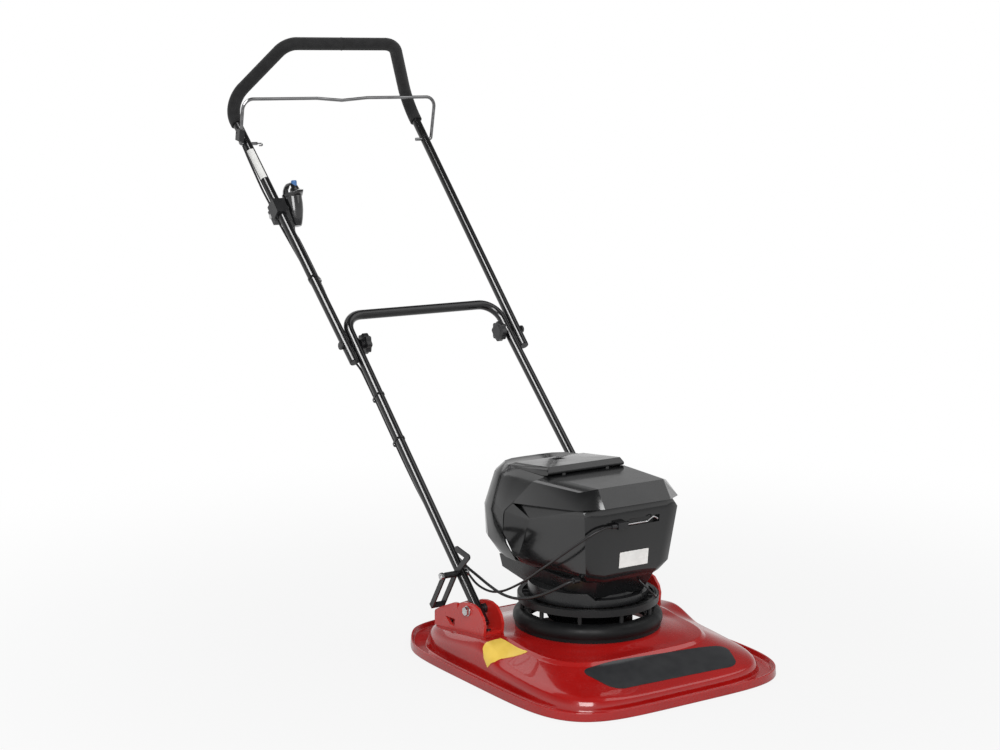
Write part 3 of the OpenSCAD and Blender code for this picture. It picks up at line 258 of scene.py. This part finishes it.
# a CAD node's copy with its sharp edges rounded off
def roundedCopy(node, material, edge=0.0, sharpAngle=32.0, segments=2):
    bm = bmesh.new()
    bm.from_mesh(nodes[node].data)
    bmesh.ops.remove_doubles(bm, verts=bm.verts, dist=cadWeld)
    bmesh.ops.dissolve_limit(bm, angle_limit=flatLimit, verts=bm.verts, edges=bm.edges)
    if edge > 0.0:
        limit = math.radians(sharpAngle)
        lines = [e for e in bm.edges if e.is_manifold and e.calc_face_angle(0.0) > limit]
        bmesh.ops.bevel(bm, geom=lines, offset=edge, offset_type="OFFSET", segments=segments, profile=0.5,
                        affect="EDGES", clamp_overlap=True, material=-1)
    words = node.split("_")
    piece = addPiece(words[0] + "".join(w.capitalize() for w in words[1:]), bm, material, sharpAngle)
    return seat(piece, bodyOf[node], [node])


# handle frame: x across, s along the tubes, n away from them
handleFrame = {"pivotY": 0.1048, "pivotZ": 0.1136, "angle": math.radians(44.5)}


def onHandle(x, s, n):
    c, k = math.cos(handleFrame["angle"]), math.sin(handleFrame["angle"])
    return Vector((x, handleFrame["pivotY"] + s * c - n * k, handleFrame["pivotZ"] + s * k + n * c))


def handleRoute(points):
    return [onHandle(x / 1000.0, s / 1000.0, n / 1000.0) for x, s, n in points]


def worldRoute(points):
    return [Vector(p) / 1000.0 for p in points]


def smoothRoute(points, steps=6):
    last = len(points) - 1
    out = []
    for i in range(last):
        a, b = points[max(0, i - 1)], points[i]
        c, d = points[i + 1], points[min(last, i + 2)]
        for k in range(steps):
            t = k / steps
            out.append(0.5 * (2 * b + (c - a) * t + (2 * a - 5 * b + 4 * c - d) * t * t
                              + (3 * b - a - 3 * c + d) * t * t * t))
    out.append(points[last].copy())
    return out


# a round tube along a path, with a hole of the bore's width and depth in its far end where one is given
def roundTube(name, path, diameter, material, bore=None):
    line = bpy.data.curves.new(name + "Line", "CURVE")
    line.dimensions = "3D"
    line.bevel_depth = diameter / 2
    line.bevel_resolution = 4
    line.use_fill_caps = True
    spline = line.splines.new("POLY")
    spline.points.add(len(path) - 1)
    for point, place in zip(spline.points, path):
        point.co = (*place, 1.0)
    holder = bpy.data.objects.new(name + "Line", line)
    bpy.context.scene.collection.objects.link(holder)
    bpy.context.view_layer.update()
    mesh = bpy.data.meshes.new_from_object(holder.evaluated_get(bpy.context.evaluated_depsgraph_get()))
    bpy.data.objects.remove(holder)
    mesh.materials.clear()
    bm = bmesh.new()
    bm.from_mesh(mesh)
    bpy.data.meshes.remove(mesh)
    bmesh.ops.remove_doubles(bm, verts=bm.verts, dist=tubeWeld)
    if bore:
        along = (path[-1] - path[-2]).normalized()
        cap = [f for f in bm.faces if all((v.co - path[-1]).length < diameter * 0.51 for v in f.verts)]
        bmesh.ops.inset_region(bm, faces=cap, thickness=(diameter - bore["width"]) / 2)
        grown = bmesh.ops.extrude_face_region(bm, geom=cap)["geom"]
        bmesh.ops.translate(bm, verts=[g for g in grown if isinstance(g, bmesh.types.BMVert)],
                            vec=along * -bore["depth"])
        bmesh.ops.delete(bm, geom=[f for f in cap if f.is_valid], context="FACES_ONLY")
        bmesh.ops.recalc_face_normals(bm, faces=bm.faces)
    return addPiece(name, bm, material, 50.0, False)


# cables: the free stretches first, then the clipped ones
cables = {"lead": 0.006, "cable": 0.005, "sensor": 0.0036}
rodHole = {"width": 0.0037, "depth": 0.0055}
gland = (-114.6, -104, 209)
ferrule = (-66.2, -164.5, 326)
leadFree = handleRoute([(-193, 134, -8)]) + worldRoute([
    (-185, 180, 184), (-181, 145, 172), (-178, 105, 160), (-174, 65, 151), (-168, 25, 150), (-162, -15, 159),
    (-153, -52, 174), (-141, -82, 191), (-127, -101, 205), gland])
cableFree = handleRoute([(-188, 134, -13)]) + worldRoute([
    (-180, 185, 170), (-175, 155, 150), (-170, 115, 144), (-166, 75, 153), (-163, 35, 172), (-160, -10, 198),
    (-156, -50, 226), (-148, -90, 255), (-132, -130, 288), (-108, -156, 314), (-80, -164.5, 326),
    (-73, -164.5, 326), ferrule])
clipped = {
    "lead_upper": [(-209, 1077.6, -26.4), (-210, 1066, -31), (-213, 1048, -26), (-217, 1024, -17),
                   (-217.3, 938, -12.5), (-217.2, 880, -12), (-218, 819, -13), (-221, 761, -14), (-222, 726, -15)],
    "lead_fold": [(-222, 726, -15), (-217, 705, -18), (-208, 680, -20), (-203, 660, -18), (-202, 640, -15)],
    "lead_lower": [(-202, 640, -15), (-202, 559, -15), (-202, 478, -15), (-201, 402, -15), (-200, 321, -14),
                   (-199, 250, -13), (-197, 200, -12), (-195, 159, -10), (-193, 134, -8)],
    "cable_upper": [(-252, 1091.6, -14), (-250, 1076, -14), (-247, 1040, -14), (-237, 938, -15), (-234.5, 880, -15),
                    (-233, 819, -15), (-231, 761, -15), (-230, 726, -16)],
    "cable_fold": [(-230, 726, -16), (-227, 705, -20), (-220, 680, -21), (-214, 660, -18), (-212, 640, -15)],
    "cable_lower": [(-212, 640, -15), (-211, 559, -15), (-211, 478, -15), (-211, 402, -15), (-208, 321, -17),
                    (-202, 250, -19), (-196, 200, -19), (-191, 159, -16), (-188, 134, -13)],
}
cablePull = [(-268, 1306, 8), (-267, 1290, 6), (-265, 1268, 2), (-262, 1230, -3), (-260, 1180, -6), (-257, 1150, -8),
             (-256, 1132.4, -8)]


def freeCable(node, route, diameter, bore=None):
    path = smoothRoute(route, 5)
    piece = roundTube(node.replace("_f", "F"), path, diameter, cableSheath, bore)
    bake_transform(piece)
    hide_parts(node)


freeCable("lead_free", leadFree, cables["lead"])
freeCable("cable_free", cableFree, cables["cable"], rodHole)
for node, route in clipped.items():
    kind, part = node.split("_")
    path = smoothRoute(handleRoute(route), 6)
    piece = roundTube(kind + part.capitalize(), path, cables[kind], cableSheath)
    if part == "fold":
        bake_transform(piece)
        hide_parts(node)
    else:
        seat(piece, bodyOf[node], [node])
piece = roundTube("cablePull", smoothRoute(handleRoute(cablePull), 6), cables["cable"], cableSheath)
seat(piece, "upper_handle", [])
sensorRoute = worldRoute([(40, -121.4, 191.4), (49, -133, 178), (64, -138, 162), (80, -126, 152), (94, -111, 148.6),
                          (108, -95, 147.4), (124, -70, 147.2)])
seat(roundTube("sensorLead", smoothRoute(sensorRoute, 8), cables["sensor"], cableSheath), "chassis", ["sensor_lead"])
print("cables: free and clipped stretches laid")


# deck: a loop at the foot of the rim, extruded ring by ring over the dome and back underneath
deckForm = {
    "halfWidth": 300.0, "front": 347.0, "rear": 328.0, "points": 96, "wall": 4.0,
    "rearLift": 14.0, "padHeight": 79.2, "padSlope": 0.116, "power": 4.9,
    "slopeEnd": 40.0, "padFrom": -60.0, "padOver": 95.0, "liftInset": 73.0, "liftOver": 30.0,
}
# radius and height of the rings round the intake hole, and inset and height of those inside the rim's foot
holeRings = ((158, 77.6), (154, 78), (141, 78), (140, 77.4), (140, 74.6), (141, 74), (154, 74))
footRings = ((0.0, 3.2), (-0.1, 1.6), (-0.6, 0.1))
gutterStep = 7
# inset at the side, front and rear, corner power, heights, lifted at the rear, extra rings before the next step
flat = deckForm["power"]
padZ, padFall = deckForm["padHeight"], -deckForm["padSlope"]
deckSteps = [
    ((0.6, 0.6, 0.6), flat, (0.1, 0.1, 0.1, 0), True, ()),
    ((0, 0, 0), flat, (1.6, 1.6, 1.6, 0), True, (0.1, 0.85)),
    ((1, 1, 1), flat, (17.2, 17.2, 17.2, 0), True, ()),
    ((2.2, 2.2, 2.2), flat, (18, 18, 18, 0), True, (0.25, 0.75)),
    ((4.6, 4.6, 4.6), flat, (17.4, 17.4, 17.4, 0), True, ()),
    ((6.4, 6.4, 6.4), flat, (7.6, 7.6, 7.6, 0), True, (0.5,)),
    ((8.5, 8.5, 8.5), flat, (7, 7, 7, 0), True, (0.15, 0.85)),
    ((28, 28, 28), flat, (7, 7, 7, 0), True, ()),
    ((29.6, 29.4, 29.8), flat, (8.6, 8.8, 9, 0), True, (0.5,)),
    ((33, 31, 34), flat, (18, 30, 38, -0.02), False, (0.5,)),
    ((38, 34.5, 39), flat, (25.4, 42, 62, -0.08), False, (0.5,)),
    ((50, 45, 52), 5.6, (30, 51, padZ, padFall), False, (0.2, 0.5, 0.9)),
    ((93, 140, 70), 4.2, (58, 66, padZ, padFall), False, (0.12, 0.88)),
    ((100, 148, 78), 4.2, (65, 72, padZ, padFall), False, (0.12, 0.6)),
    ((126, 171, 112), 3.5, (68, 74, padZ, padFall), False, (0.4, 0.8)),
]


def mixStep(a, b, t):
    def blendTo(p, q):
        return tuple(u + (v - u) * t for u, v in zip(p, q))
    return (blendTo(a[0], b[0]), a[1] + (b[1] - a[1]) * t, blendTo(a[2], b[2]), a[3], ())


def ease(t):
    t = min(1.0, max(0.0, t))
    return t * t * (3.0 - 2.0 * t)


def deckPoint(angle, step):
    inset, power, z, lifted, _ = step
    front = deckForm["front"] - inset[1]
    c = abs(math.cos(angle)) / (deckForm["halfWidth"] - inset[0])
    s = abs(math.sin(angle)) / (front if math.sin(angle) < 0 else deckForm["rear"] - inset[2])
    r = (c ** power + s ** power) ** (-1.0 / power)
    y = r * math.sin(angle)
    ahead = z[0] + (z[1] - z[0]) * (y + front) / (front - deckForm["slopeEnd"])
    behind = z[2] + z[3] * y
    height = ahead + (behind - ahead) * ease((y - deckForm["padFrom"]) / deckForm["padOver"])
    if lifted:
        liftFrom = deckForm["rear"] - deckForm["liftInset"]
        height += deckForm["rearLift"] * ease((y - liftFrom) / deckForm["liftOver"])
    return Vector((r * math.cos(angle), y, height)) / 1000.0


def roundPoint(angle, radius, height):
    return Vector((radius * math.cos(angle), radius * math.sin(angle), height)) / 1000.0


def deckRings():
    rings = []
    for step, nextStep in zip(deckSteps, deckSteps[1:] + [None]):
        rings.append(lambda a, s=step: deckPoint(a, s))
        if nextStep:
            for t in step[4]:
                between = mixStep(step, nextStep, t)
                rings.append(lambda a, s=between: deckPoint(a, s))
    for radius, height in holeRings:
        rings.append(lambda a, r=radius, h=height: roundPoint(a, r, h))
    wall = deckForm["wall"]
    for step in reversed(deckSteps[gutterStep:]):
        inset = tuple(v + wall for v in step[0])
        z = (step[2][0] - wall, step[2][1] - wall, step[2][2] - wall, step[2][3])
        rings.append(lambda a, s=(inset, step[1], z, step[3], ()): deckPoint(a, s))
    for extra, height in footRings:
        inset = (wall + extra,) * 3
        rings.append(lambda a, s=(inset, flat, (height, height, height, 0), True, ()): deckPoint(a, s))
    return rings


def buildDeck():
    count = deckForm["points"]
    rings = deckRings()
    bm = bmesh.new()
    bmesh.ops.create_circle(bm, cap_ends=False, segments=count, radius=1.0)

    def placeRing(verts, ring):
        for v in verts:
            v.co = ring(math.atan2(v.co.y, v.co.x))
    placeRing(bm.verts, rings[0])
    first = list(bm.edges)
    edges = first
    for ring in rings[1:]:
        grown = bmesh.ops.extrude_edge_only(bm, edges=edges)["geom"]
        placeRing([g for g in grown if isinstance(g, bmesh.types.BMVert)], ring)
        edges = [g for g in grown if isinstance(g, bmesh.types.BMEdge) and g.is_boundary]
    bmesh.ops.bridge_loops(bm, edges=first + edges)
    bmesh.ops.recalc_face_normals(bm, faces=bm.faces)
    deck = addPiece("deckShell", bm, deckRed, 180.0, False)
    smooth = deck.modifiers.new("smooth", "SUBSURF")
    smooth.levels = smooth.render_levels = 2
    return seat(deck, "chassis", ["deck_shell"])


deck = buildDeck()
print("deck: %d control faces" % len(deck.data.polygons))


# copies of the rigid nodes: material and edge rounding for each
finishes = {
    "bracket_right": (bracketRed, 0.0009), "bracket_left": (bracketRed, 0.0009),
    "bracket_screws": (fittingBlack, 0.0006), "pivot_bolts": (zincBright, 0.0006),
    "intake_bell": (bellRubber, 0.0), "intake_guard": (baseSatin, 0.0006), "motor_base": (headSatin, 0.0012),
    "motor_bearings": (zincBright, 0.0003), "motor_stator": (windingCopper, 0.0005),
    "lower_housing": (headGloss, 0.0022), "front_hood": (headGloss, 0.0022), "hood_screws": (zincBright, 0.0004),
    "hinge_pin": (zincBright, 0.0003), "battery_pack": (packBlack, 0.0016), "battery_rails": (packBlack, 0.0005),
    "motor_controller": (boardGreen, 0.0005), "cable_anchor": (fittingBlack, 0.0004),
    "lead_gland": (fittingBlack, 0.0005), "battery_cover": (headGloss, 0.0012), "motor_shaft": (zincBright, 0.0005),
    "motor_rotor": (bladeSteel, 0.0005), "impeller": (baseSatin, 0.0004), "blade_spacers": (baseSatin, 0.0005),
    "cutter_bar": (bladeSteel, 0.0004), "blade_bolt": (zincBright, 0.0006), "lower_handle": (tubeCoat, 0.0),
    "pivot_bushes": (fittingBlack, 0.0003), "lower_plugs": (fittingBlack, 0.0006), "fold_bolts": (latchCoat, 0.0006),
    "fold_washers": (latchCoat, 0.0002), "latch_bolt": (zincBright, 0.0005), "latch_spacer": (latchCoat, 0.0003),
    "lower_ties": (fittingBlack, 0.0002), "knob_right": (fittingBlack, 0.0007), "knob_left": (fittingBlack, 0.0007),
    "handle_latch": (latchCoat, 0.0006), "upper_handle": (tubeCoat, 0.0), "upper_plugs": (fittingBlack, 0.0006),
    "switch_pod": (podGloss, 0.0008), "pod_clamp": (fittingBlack, 0.0008), "pod_screw": (zincBright, 0.0005),
    "upper_ties": (fittingBlack, 0.0002), "bail_bar": (bailZinc, 0.0), "bail_block": (fittingBlack, 0.0007),
    "start_button": (buttonBlue, 0.0006), "interlock_rod": (zincBright, 0.0),
    "grip_sleeve": (gripFoam, 0.0),
}
for node, (material, edge) in finishes.items():
    roundedCopy(node, material, edge)
print("copies: %d nodes finished" % len(finishes))


# plain patches where the photo has printed labels
def deckPatch(name, corners, rounding, lift, material, grid=0.005):
    tree = BVHTree.FromObject(deck, bpy.context.evaluated_depsgraph_get())
    bm = bmesh.new()
    ring = [bm.verts.new((x / 1000.0, y / 1000.0, 0.0)) for x, y in corners]
    bm.faces.new(ring)
    bmesh.ops.bevel(bm, geom=list(bm.verts), offset=rounding, offset_type="OFFSET", segments=6, profile=0.5,
                    affect="VERTICES", clamp_overlap=True, material=-1)
    low = Vector((min(v.co.x for v in bm.verts), min(v.co.y for v in bm.verts), 0))
    high = Vector((max(v.co.x for v in bm.verts), max(v.co.y for v in bm.verts), 0))
    for axis, span in ((0, high.x - low.x), (1, high.y - low.y)):
        cuts = max(2, int(span / grid))
        normal = Vector((1, 0, 0)) if axis == 0 else Vector((0, 1, 0))
        for k in range(1, cuts):
            place = low.copy()
            place[axis] = low[axis] + span * k / cuts
            geom = list(bm.verts) + list(bm.edges) + list(bm.faces)
            bmesh.ops.bisect_plane(bm, geom=geom, dist=0.000001, plane_co=place, plane_no=normal)
    for v in bm.verts:
        hit, slope, _, _ = tree.ray_cast(Vector((v.co.x, v.co.y, 0.3)), Vector((0, 0, -1)))
        v.co = hit + slope * lift
    bmesh.ops.recalc_face_normals(bm, faces=bm.faces)
    if sum((f.normal.z for f in bm.faces), 0.0) < 0:
        bmesh.ops.reverse_faces(bm, faces=bm.faces)
    bmesh.ops.solidify(bm, geom=bm.faces, thickness=lift * 0.8)
    return seat(addPiece(name, bm, material, 60.0, False), "chassis", [])


deckPatch("frontPatch", [(-168, -197), (198, -214), (166, -291), (-140, -283)], 0.024, 0.0006, patchDark)
deckPatch("sidePatch", [(-213, 11), (-202, -71), (-226, -59), (-250, -44), (-260, -38), (-267, -23), (-264, -5),
                        (-258, 8), (-252, 10)], 0.0012, 0.0007, patchYellow, 0.002)


def flatPatch(name, corners, rounding, body, material):
    bm = bmesh.new()
    ring = [bm.verts.new(Vector(c) / 1000.0) for c in corners]
    bm.faces.new(ring)
    bmesh.ops.bevel(bm, geom=list(bm.verts), offset=rounding, offset_type="OFFSET", segments=3, profile=0.5,
                    affect="VERTICES", clamp_overlap=True, material=-1)
    bmesh.ops.solidify(bm, geom=bm.faces, thickness=0.0003)
    bmesh.ops.recalc_face_normals(bm, faces=bm.faces)
    return seat(addPiece(name, bm, material, 30.0, False), body, [])


flatPatch("frontLabel", [(-34, -151.9, 266), (39, -151.9, 266), (39, -149, 233), (-34, -149, 233)], 0.0015, "chassis",
          patchWhite)
tubeLabel = {"from": 1203.0, "to": 1294.0, "radius": 11.35, "facing": (-0.56, 0.83), "turn": math.radians(92)}
upperTube = {"side": 230.4, "spread": 0.0295, "from": 656.0}


# a plain sticker wrapped part of the way round the left upper tube
def tubePatch(spec):
    ends = []
    for s in (spec["from"], spec["to"]):
        x = upperTube["side"] + upperTube["spread"] * (s - upperTube["from"])
        ends.append(handleRoute([(-x, s, 0)])[0])
    along = (ends[1] - ends[0]).normalized()
    out = onHandle(spec["facing"][0], 0.0, spec["facing"][1]) - onHandle(0.0, 0.0, 0.0)
    out = (out - along * out.dot(along)).normalized() * spec["radius"] / 1000.0
    out.rotate(Matrix.Rotation(-spec["turn"] / 2, 3, along))
    bm = bmesh.new()
    line = [bm.verts.new(end + out) for end in ends]
    edge = bm.edges.new(line)
    bmesh.ops.spin(bm, geom=line + [edge], cent=ends[0], axis=along, dvec=(0, 0, 0), angle=spec["turn"], steps=14,
                   use_merge=False)
    bmesh.ops.recalc_face_normals(bm, faces=bm.faces)
    bmesh.ops.solidify(bm, geom=bm.faces, thickness=0.0002)
    bmesh.ops.recalc_face_normals(bm, faces=bm.faces)
    return seat(addPiece("tubeLabel", bm, patchWhite, 60.0, False), "upper_handle", [])


tubePatch(tubeLabel)


# the two halves of the foam grip meet at the middle
seam = {"place": (0.0, 1.472, 0.182), "radius": 0.0155, "bead": 0.0007}


def gripSeam(spec):
    middle = onHandle(*spec["place"])
    bm = bmesh.new()
    bmesh.ops.create_circle(bm, cap_ends=False, segments=8, radius=spec["bead"])
    for v in bm.verts:
        v.co = middle + Vector((v.co.x, spec["radius"] + v.co.y, 0.0))
    bmesh.ops.spin(bm, geom=list(bm.verts) + list(bm.edges), cent=middle, axis=(1, 0, 0), dvec=(0, 0, 0),
                   angle=math.tau, steps=40, use_merge=True)
    bmesh.ops.remove_doubles(bm, verts=bm.verts, dist=tubeWeld)
    bmesh.ops.recalc_face_normals(bm, faces=bm.faces)
    return seat(addPiece("gripSeam", bm, seamDark, 60.0, False), "upper_handle", [])


gripSeam(seam)
print("patches: plain, unprinted")


# floor, world and lamps
floorLook = {"size": 30.0, "albedo": 0.5, "fadeFrom": 0.5, "fadeTo": 2.2, "nearShare": 0.84,
             "mirrorFrom": -1.0, "mirrorTo": 1.4, "frontMirror": 0.2, "rearMirror": 0.75}
worldLook = {"tilt": (0.12, 0.16, 1), "low": 0.06, "high": 0.6, "horizon": 1.0, "ceiling": 0.12, "diffuse": 0.46}


def makeStage(look):
    bm = bmesh.new()
    bmesh.ops.create_grid(bm, x_segments=2, y_segments=2, size=look["size"])
    mesh = bpy.data.meshes.new("floor")
    bm.to_mesh(mesh)
    bm.free()
    mat = bpy.data.materials.new("floorPale")
    mat.use_nodes = True
    tree = mat.node_tree
    tree.nodes.clear()
    out = tree.nodes.new("ShaderNodeOutputMaterial")
    matte = tree.nodes.new("ShaderNodeBsdfDiffuse")
    matte.inputs["Color"].default_value = (look["albedo"], look["albedo"], look["albedo"], 1.0)
    glow = tree.nodes.new("ShaderNodeEmission")
    rays = tree.nodes.new("ShaderNodeLightPath")
    coords = tree.nodes.new("ShaderNodeTexCoord")
    reach = tree.nodes.new("ShaderNodeVectorMath")
    reach.operation = "LENGTH"
    fade = tree.nodes.new("ShaderNodeMapRange")
    fade.interpolation_type = "SMOOTHSTEP"
    fade.inputs["From Min"].default_value = look["fadeFrom"]
    fade.inputs["From Max"].default_value = look["fadeTo"]
    fade.inputs["To Min"].default_value = look["nearShare"]
    fade.inputs["To Max"].default_value = 1.0
    share = tree.nodes.new("ShaderNodeMath")
    share.operation = "MULTIPLY"
    tree.links.new(coords.outputs["Object"], reach.inputs[0])
    tree.links.new(reach.outputs["Value"], fade.inputs["Value"])
    tree.links.new(fade.outputs["Result"], share.inputs[1])
    mirrored = tree.nodes.new("ShaderNodeMath")
    mirrored.operation = "MULTIPLY"
    spread = tree.nodes.new("ShaderNodeSeparateXYZ")
    brighter = tree.nodes.new("ShaderNodeMapRange")
    brighter.inputs["From Min"].default_value = look["mirrorFrom"]
    brighter.inputs["From Max"].default_value = look["mirrorTo"]
    brighter.inputs["To Min"].default_value = look["frontMirror"]
    brighter.inputs["To Max"].default_value = look["rearMirror"]
    tree.links.new(coords.outputs["Object"], spread.inputs[0])
    tree.links.new(spread.outputs["Y"], brighter.inputs["Value"])
    tree.links.new(brighter.outputs["Result"], mirrored.inputs[1])
    seen = tree.nodes.new("ShaderNodeMath")
    seen.operation = "MAXIMUM"
    mixer = tree.nodes.new("ShaderNodeMixShader")
    tree.links.new(rays.outputs["Is Camera Ray"], seen.inputs[0])
    tree.links.new(rays.outputs["Is Glossy Ray"], mirrored.inputs[0])
    tree.links.new(mirrored.outputs[0], seen.inputs[1])
    tree.links.new(seen.outputs[0], share.inputs[0])
    tree.links.new(share.outputs[0], mixer.inputs["Fac"])
    tree.links.new(matte.outputs[0], mixer.inputs[1])
    tree.links.new(glow.outputs[0], mixer.inputs[2])
    tree.links.new(mixer.outputs[0], out.inputs["Surface"])
    mesh.materials.append(mat)
    floor = bpy.data.objects.new("floor", mesh)
    bpy.context.scene.collection.objects.link(floor)


def makeWorld(look):
    world = bpy.data.worlds.new("studio")
    bpy.context.scene.world = world
    world.use_nodes = True
    tree = world.node_tree
    back = tree.nodes["Background"]
    back.inputs["Color"].default_value = (1.0, 1.0, 1.0, 1.0)
    # white for the eye, and in reflections darker towards the ceiling and the rear
    coords = tree.nodes.new("ShaderNodeTexCoord")
    facing = tree.nodes.new("ShaderNodeVectorMath")
    facing.operation = "DOT_PRODUCT"
    facing.inputs[1].default_value = look["tilt"]
    mirrored = tree.nodes.new("ShaderNodeMapRange")
    mirrored.inputs["From Min"].default_value = look["low"]
    mirrored.inputs["From Max"].default_value = look["high"]
    mirrored.inputs["To Min"].default_value = look["horizon"]
    mirrored.inputs["To Max"].default_value = look["ceiling"]
    rays = tree.nodes.new("ShaderNodeLightPath")
    glossy = tree.nodes.new("ShaderNodeMix")
    glossy.inputs["A"].default_value = look["diffuse"]
    seen = tree.nodes.new("ShaderNodeMath")
    seen.operation = "MAXIMUM"
    level = tree.nodes.new("ShaderNodeMix")
    level.inputs["B"].default_value = 1.0
    tree.links.new(coords.outputs["Generated"], facing.inputs[0])
    tree.links.new(facing.outputs["Value"], mirrored.inputs["Value"])
    tree.links.new(rays.outputs["Is Glossy Ray"], glossy.inputs["Factor"])
    tree.links.new(mirrored.outputs["Result"], glossy.inputs["B"])
    tree.links.new(rays.outputs["Is Camera Ray"], seen.inputs[0])
    tree.links.new(rays.outputs["Is Transmission Ray"], seen.inputs[1])
    tree.links.new(seen.outputs[0], level.inputs["Factor"])
    tree.links.new(glossy.outputs["Result"], level.inputs["A"])
    tree.links.new(level.outputs["Result"], back.inputs["Strength"])


lamps = {
    "keySoft": {"place": (-1.9, -2.6, 2.3), "aim": (0, 0.1, 0.3), "size": (1.8, 1.8), "power": 110.0},
    "bandSoft": {"place": (2.0, -0.9, 2.9), "aim": (0, 0, 0.4), "size": (2.4, 2.4), "power": 24.0},
    "rearSoft": {"place": (-0.1, 2.7, 2.4), "aim": (0, 0, 0.15), "size": (2.8, 2.8), "power": 26.0},
    "tubeLine": {"place": (-1.9, 0.15, 3.2), "aim": (-0.2, 0.6, 0.7), "size": (0.9, 2.4), "power": 120.0},
}


def makeLamps():
    for name, spec in lamps.items():
        lamp = bpy.data.lights.new(name, "AREA")
        lamp.shape = "RECTANGLE"
        lamp.size, lamp.size_y = spec["size"]
        lamp.energy = spec["power"]
        holder = bpy.data.objects.new(name, lamp)
        bpy.context.scene.collection.objects.link(holder)
        aim = Vector(spec["aim"]) - Vector(spec["place"])
        holder.location = spec["place"]
        holder.visible_camera = False
        holder.visible_diffuse = name != "tubeLine"
        holder.rotation_mode = "QUATERNION"
        holder.rotation_quaternion = aim.to_track_quat("-Z", "Y")


# the narrow lamp draws its bright line on the tubes alone
def aimAtTubes(lampName, pieceNames):
    lit = bpy.data.collections.new(lampName + "Lit")
    for name in pieceNames:
        lit.objects.link(bpy.data.objects[name])
    bpy.data.objects[lampName].light_linking.receiver_collection = lit


makeStage(floorLook)
makeWorld(worldLook)
makeLamps()
aimAtTubes("tubeLine", ("upperHandle", "lowerHandle", "bailBar", "switchPod"))
bpy.context.scene.view_settings.view_transform = "Standard"
print("stage: floor, world and %d lamps" % len(lamps))
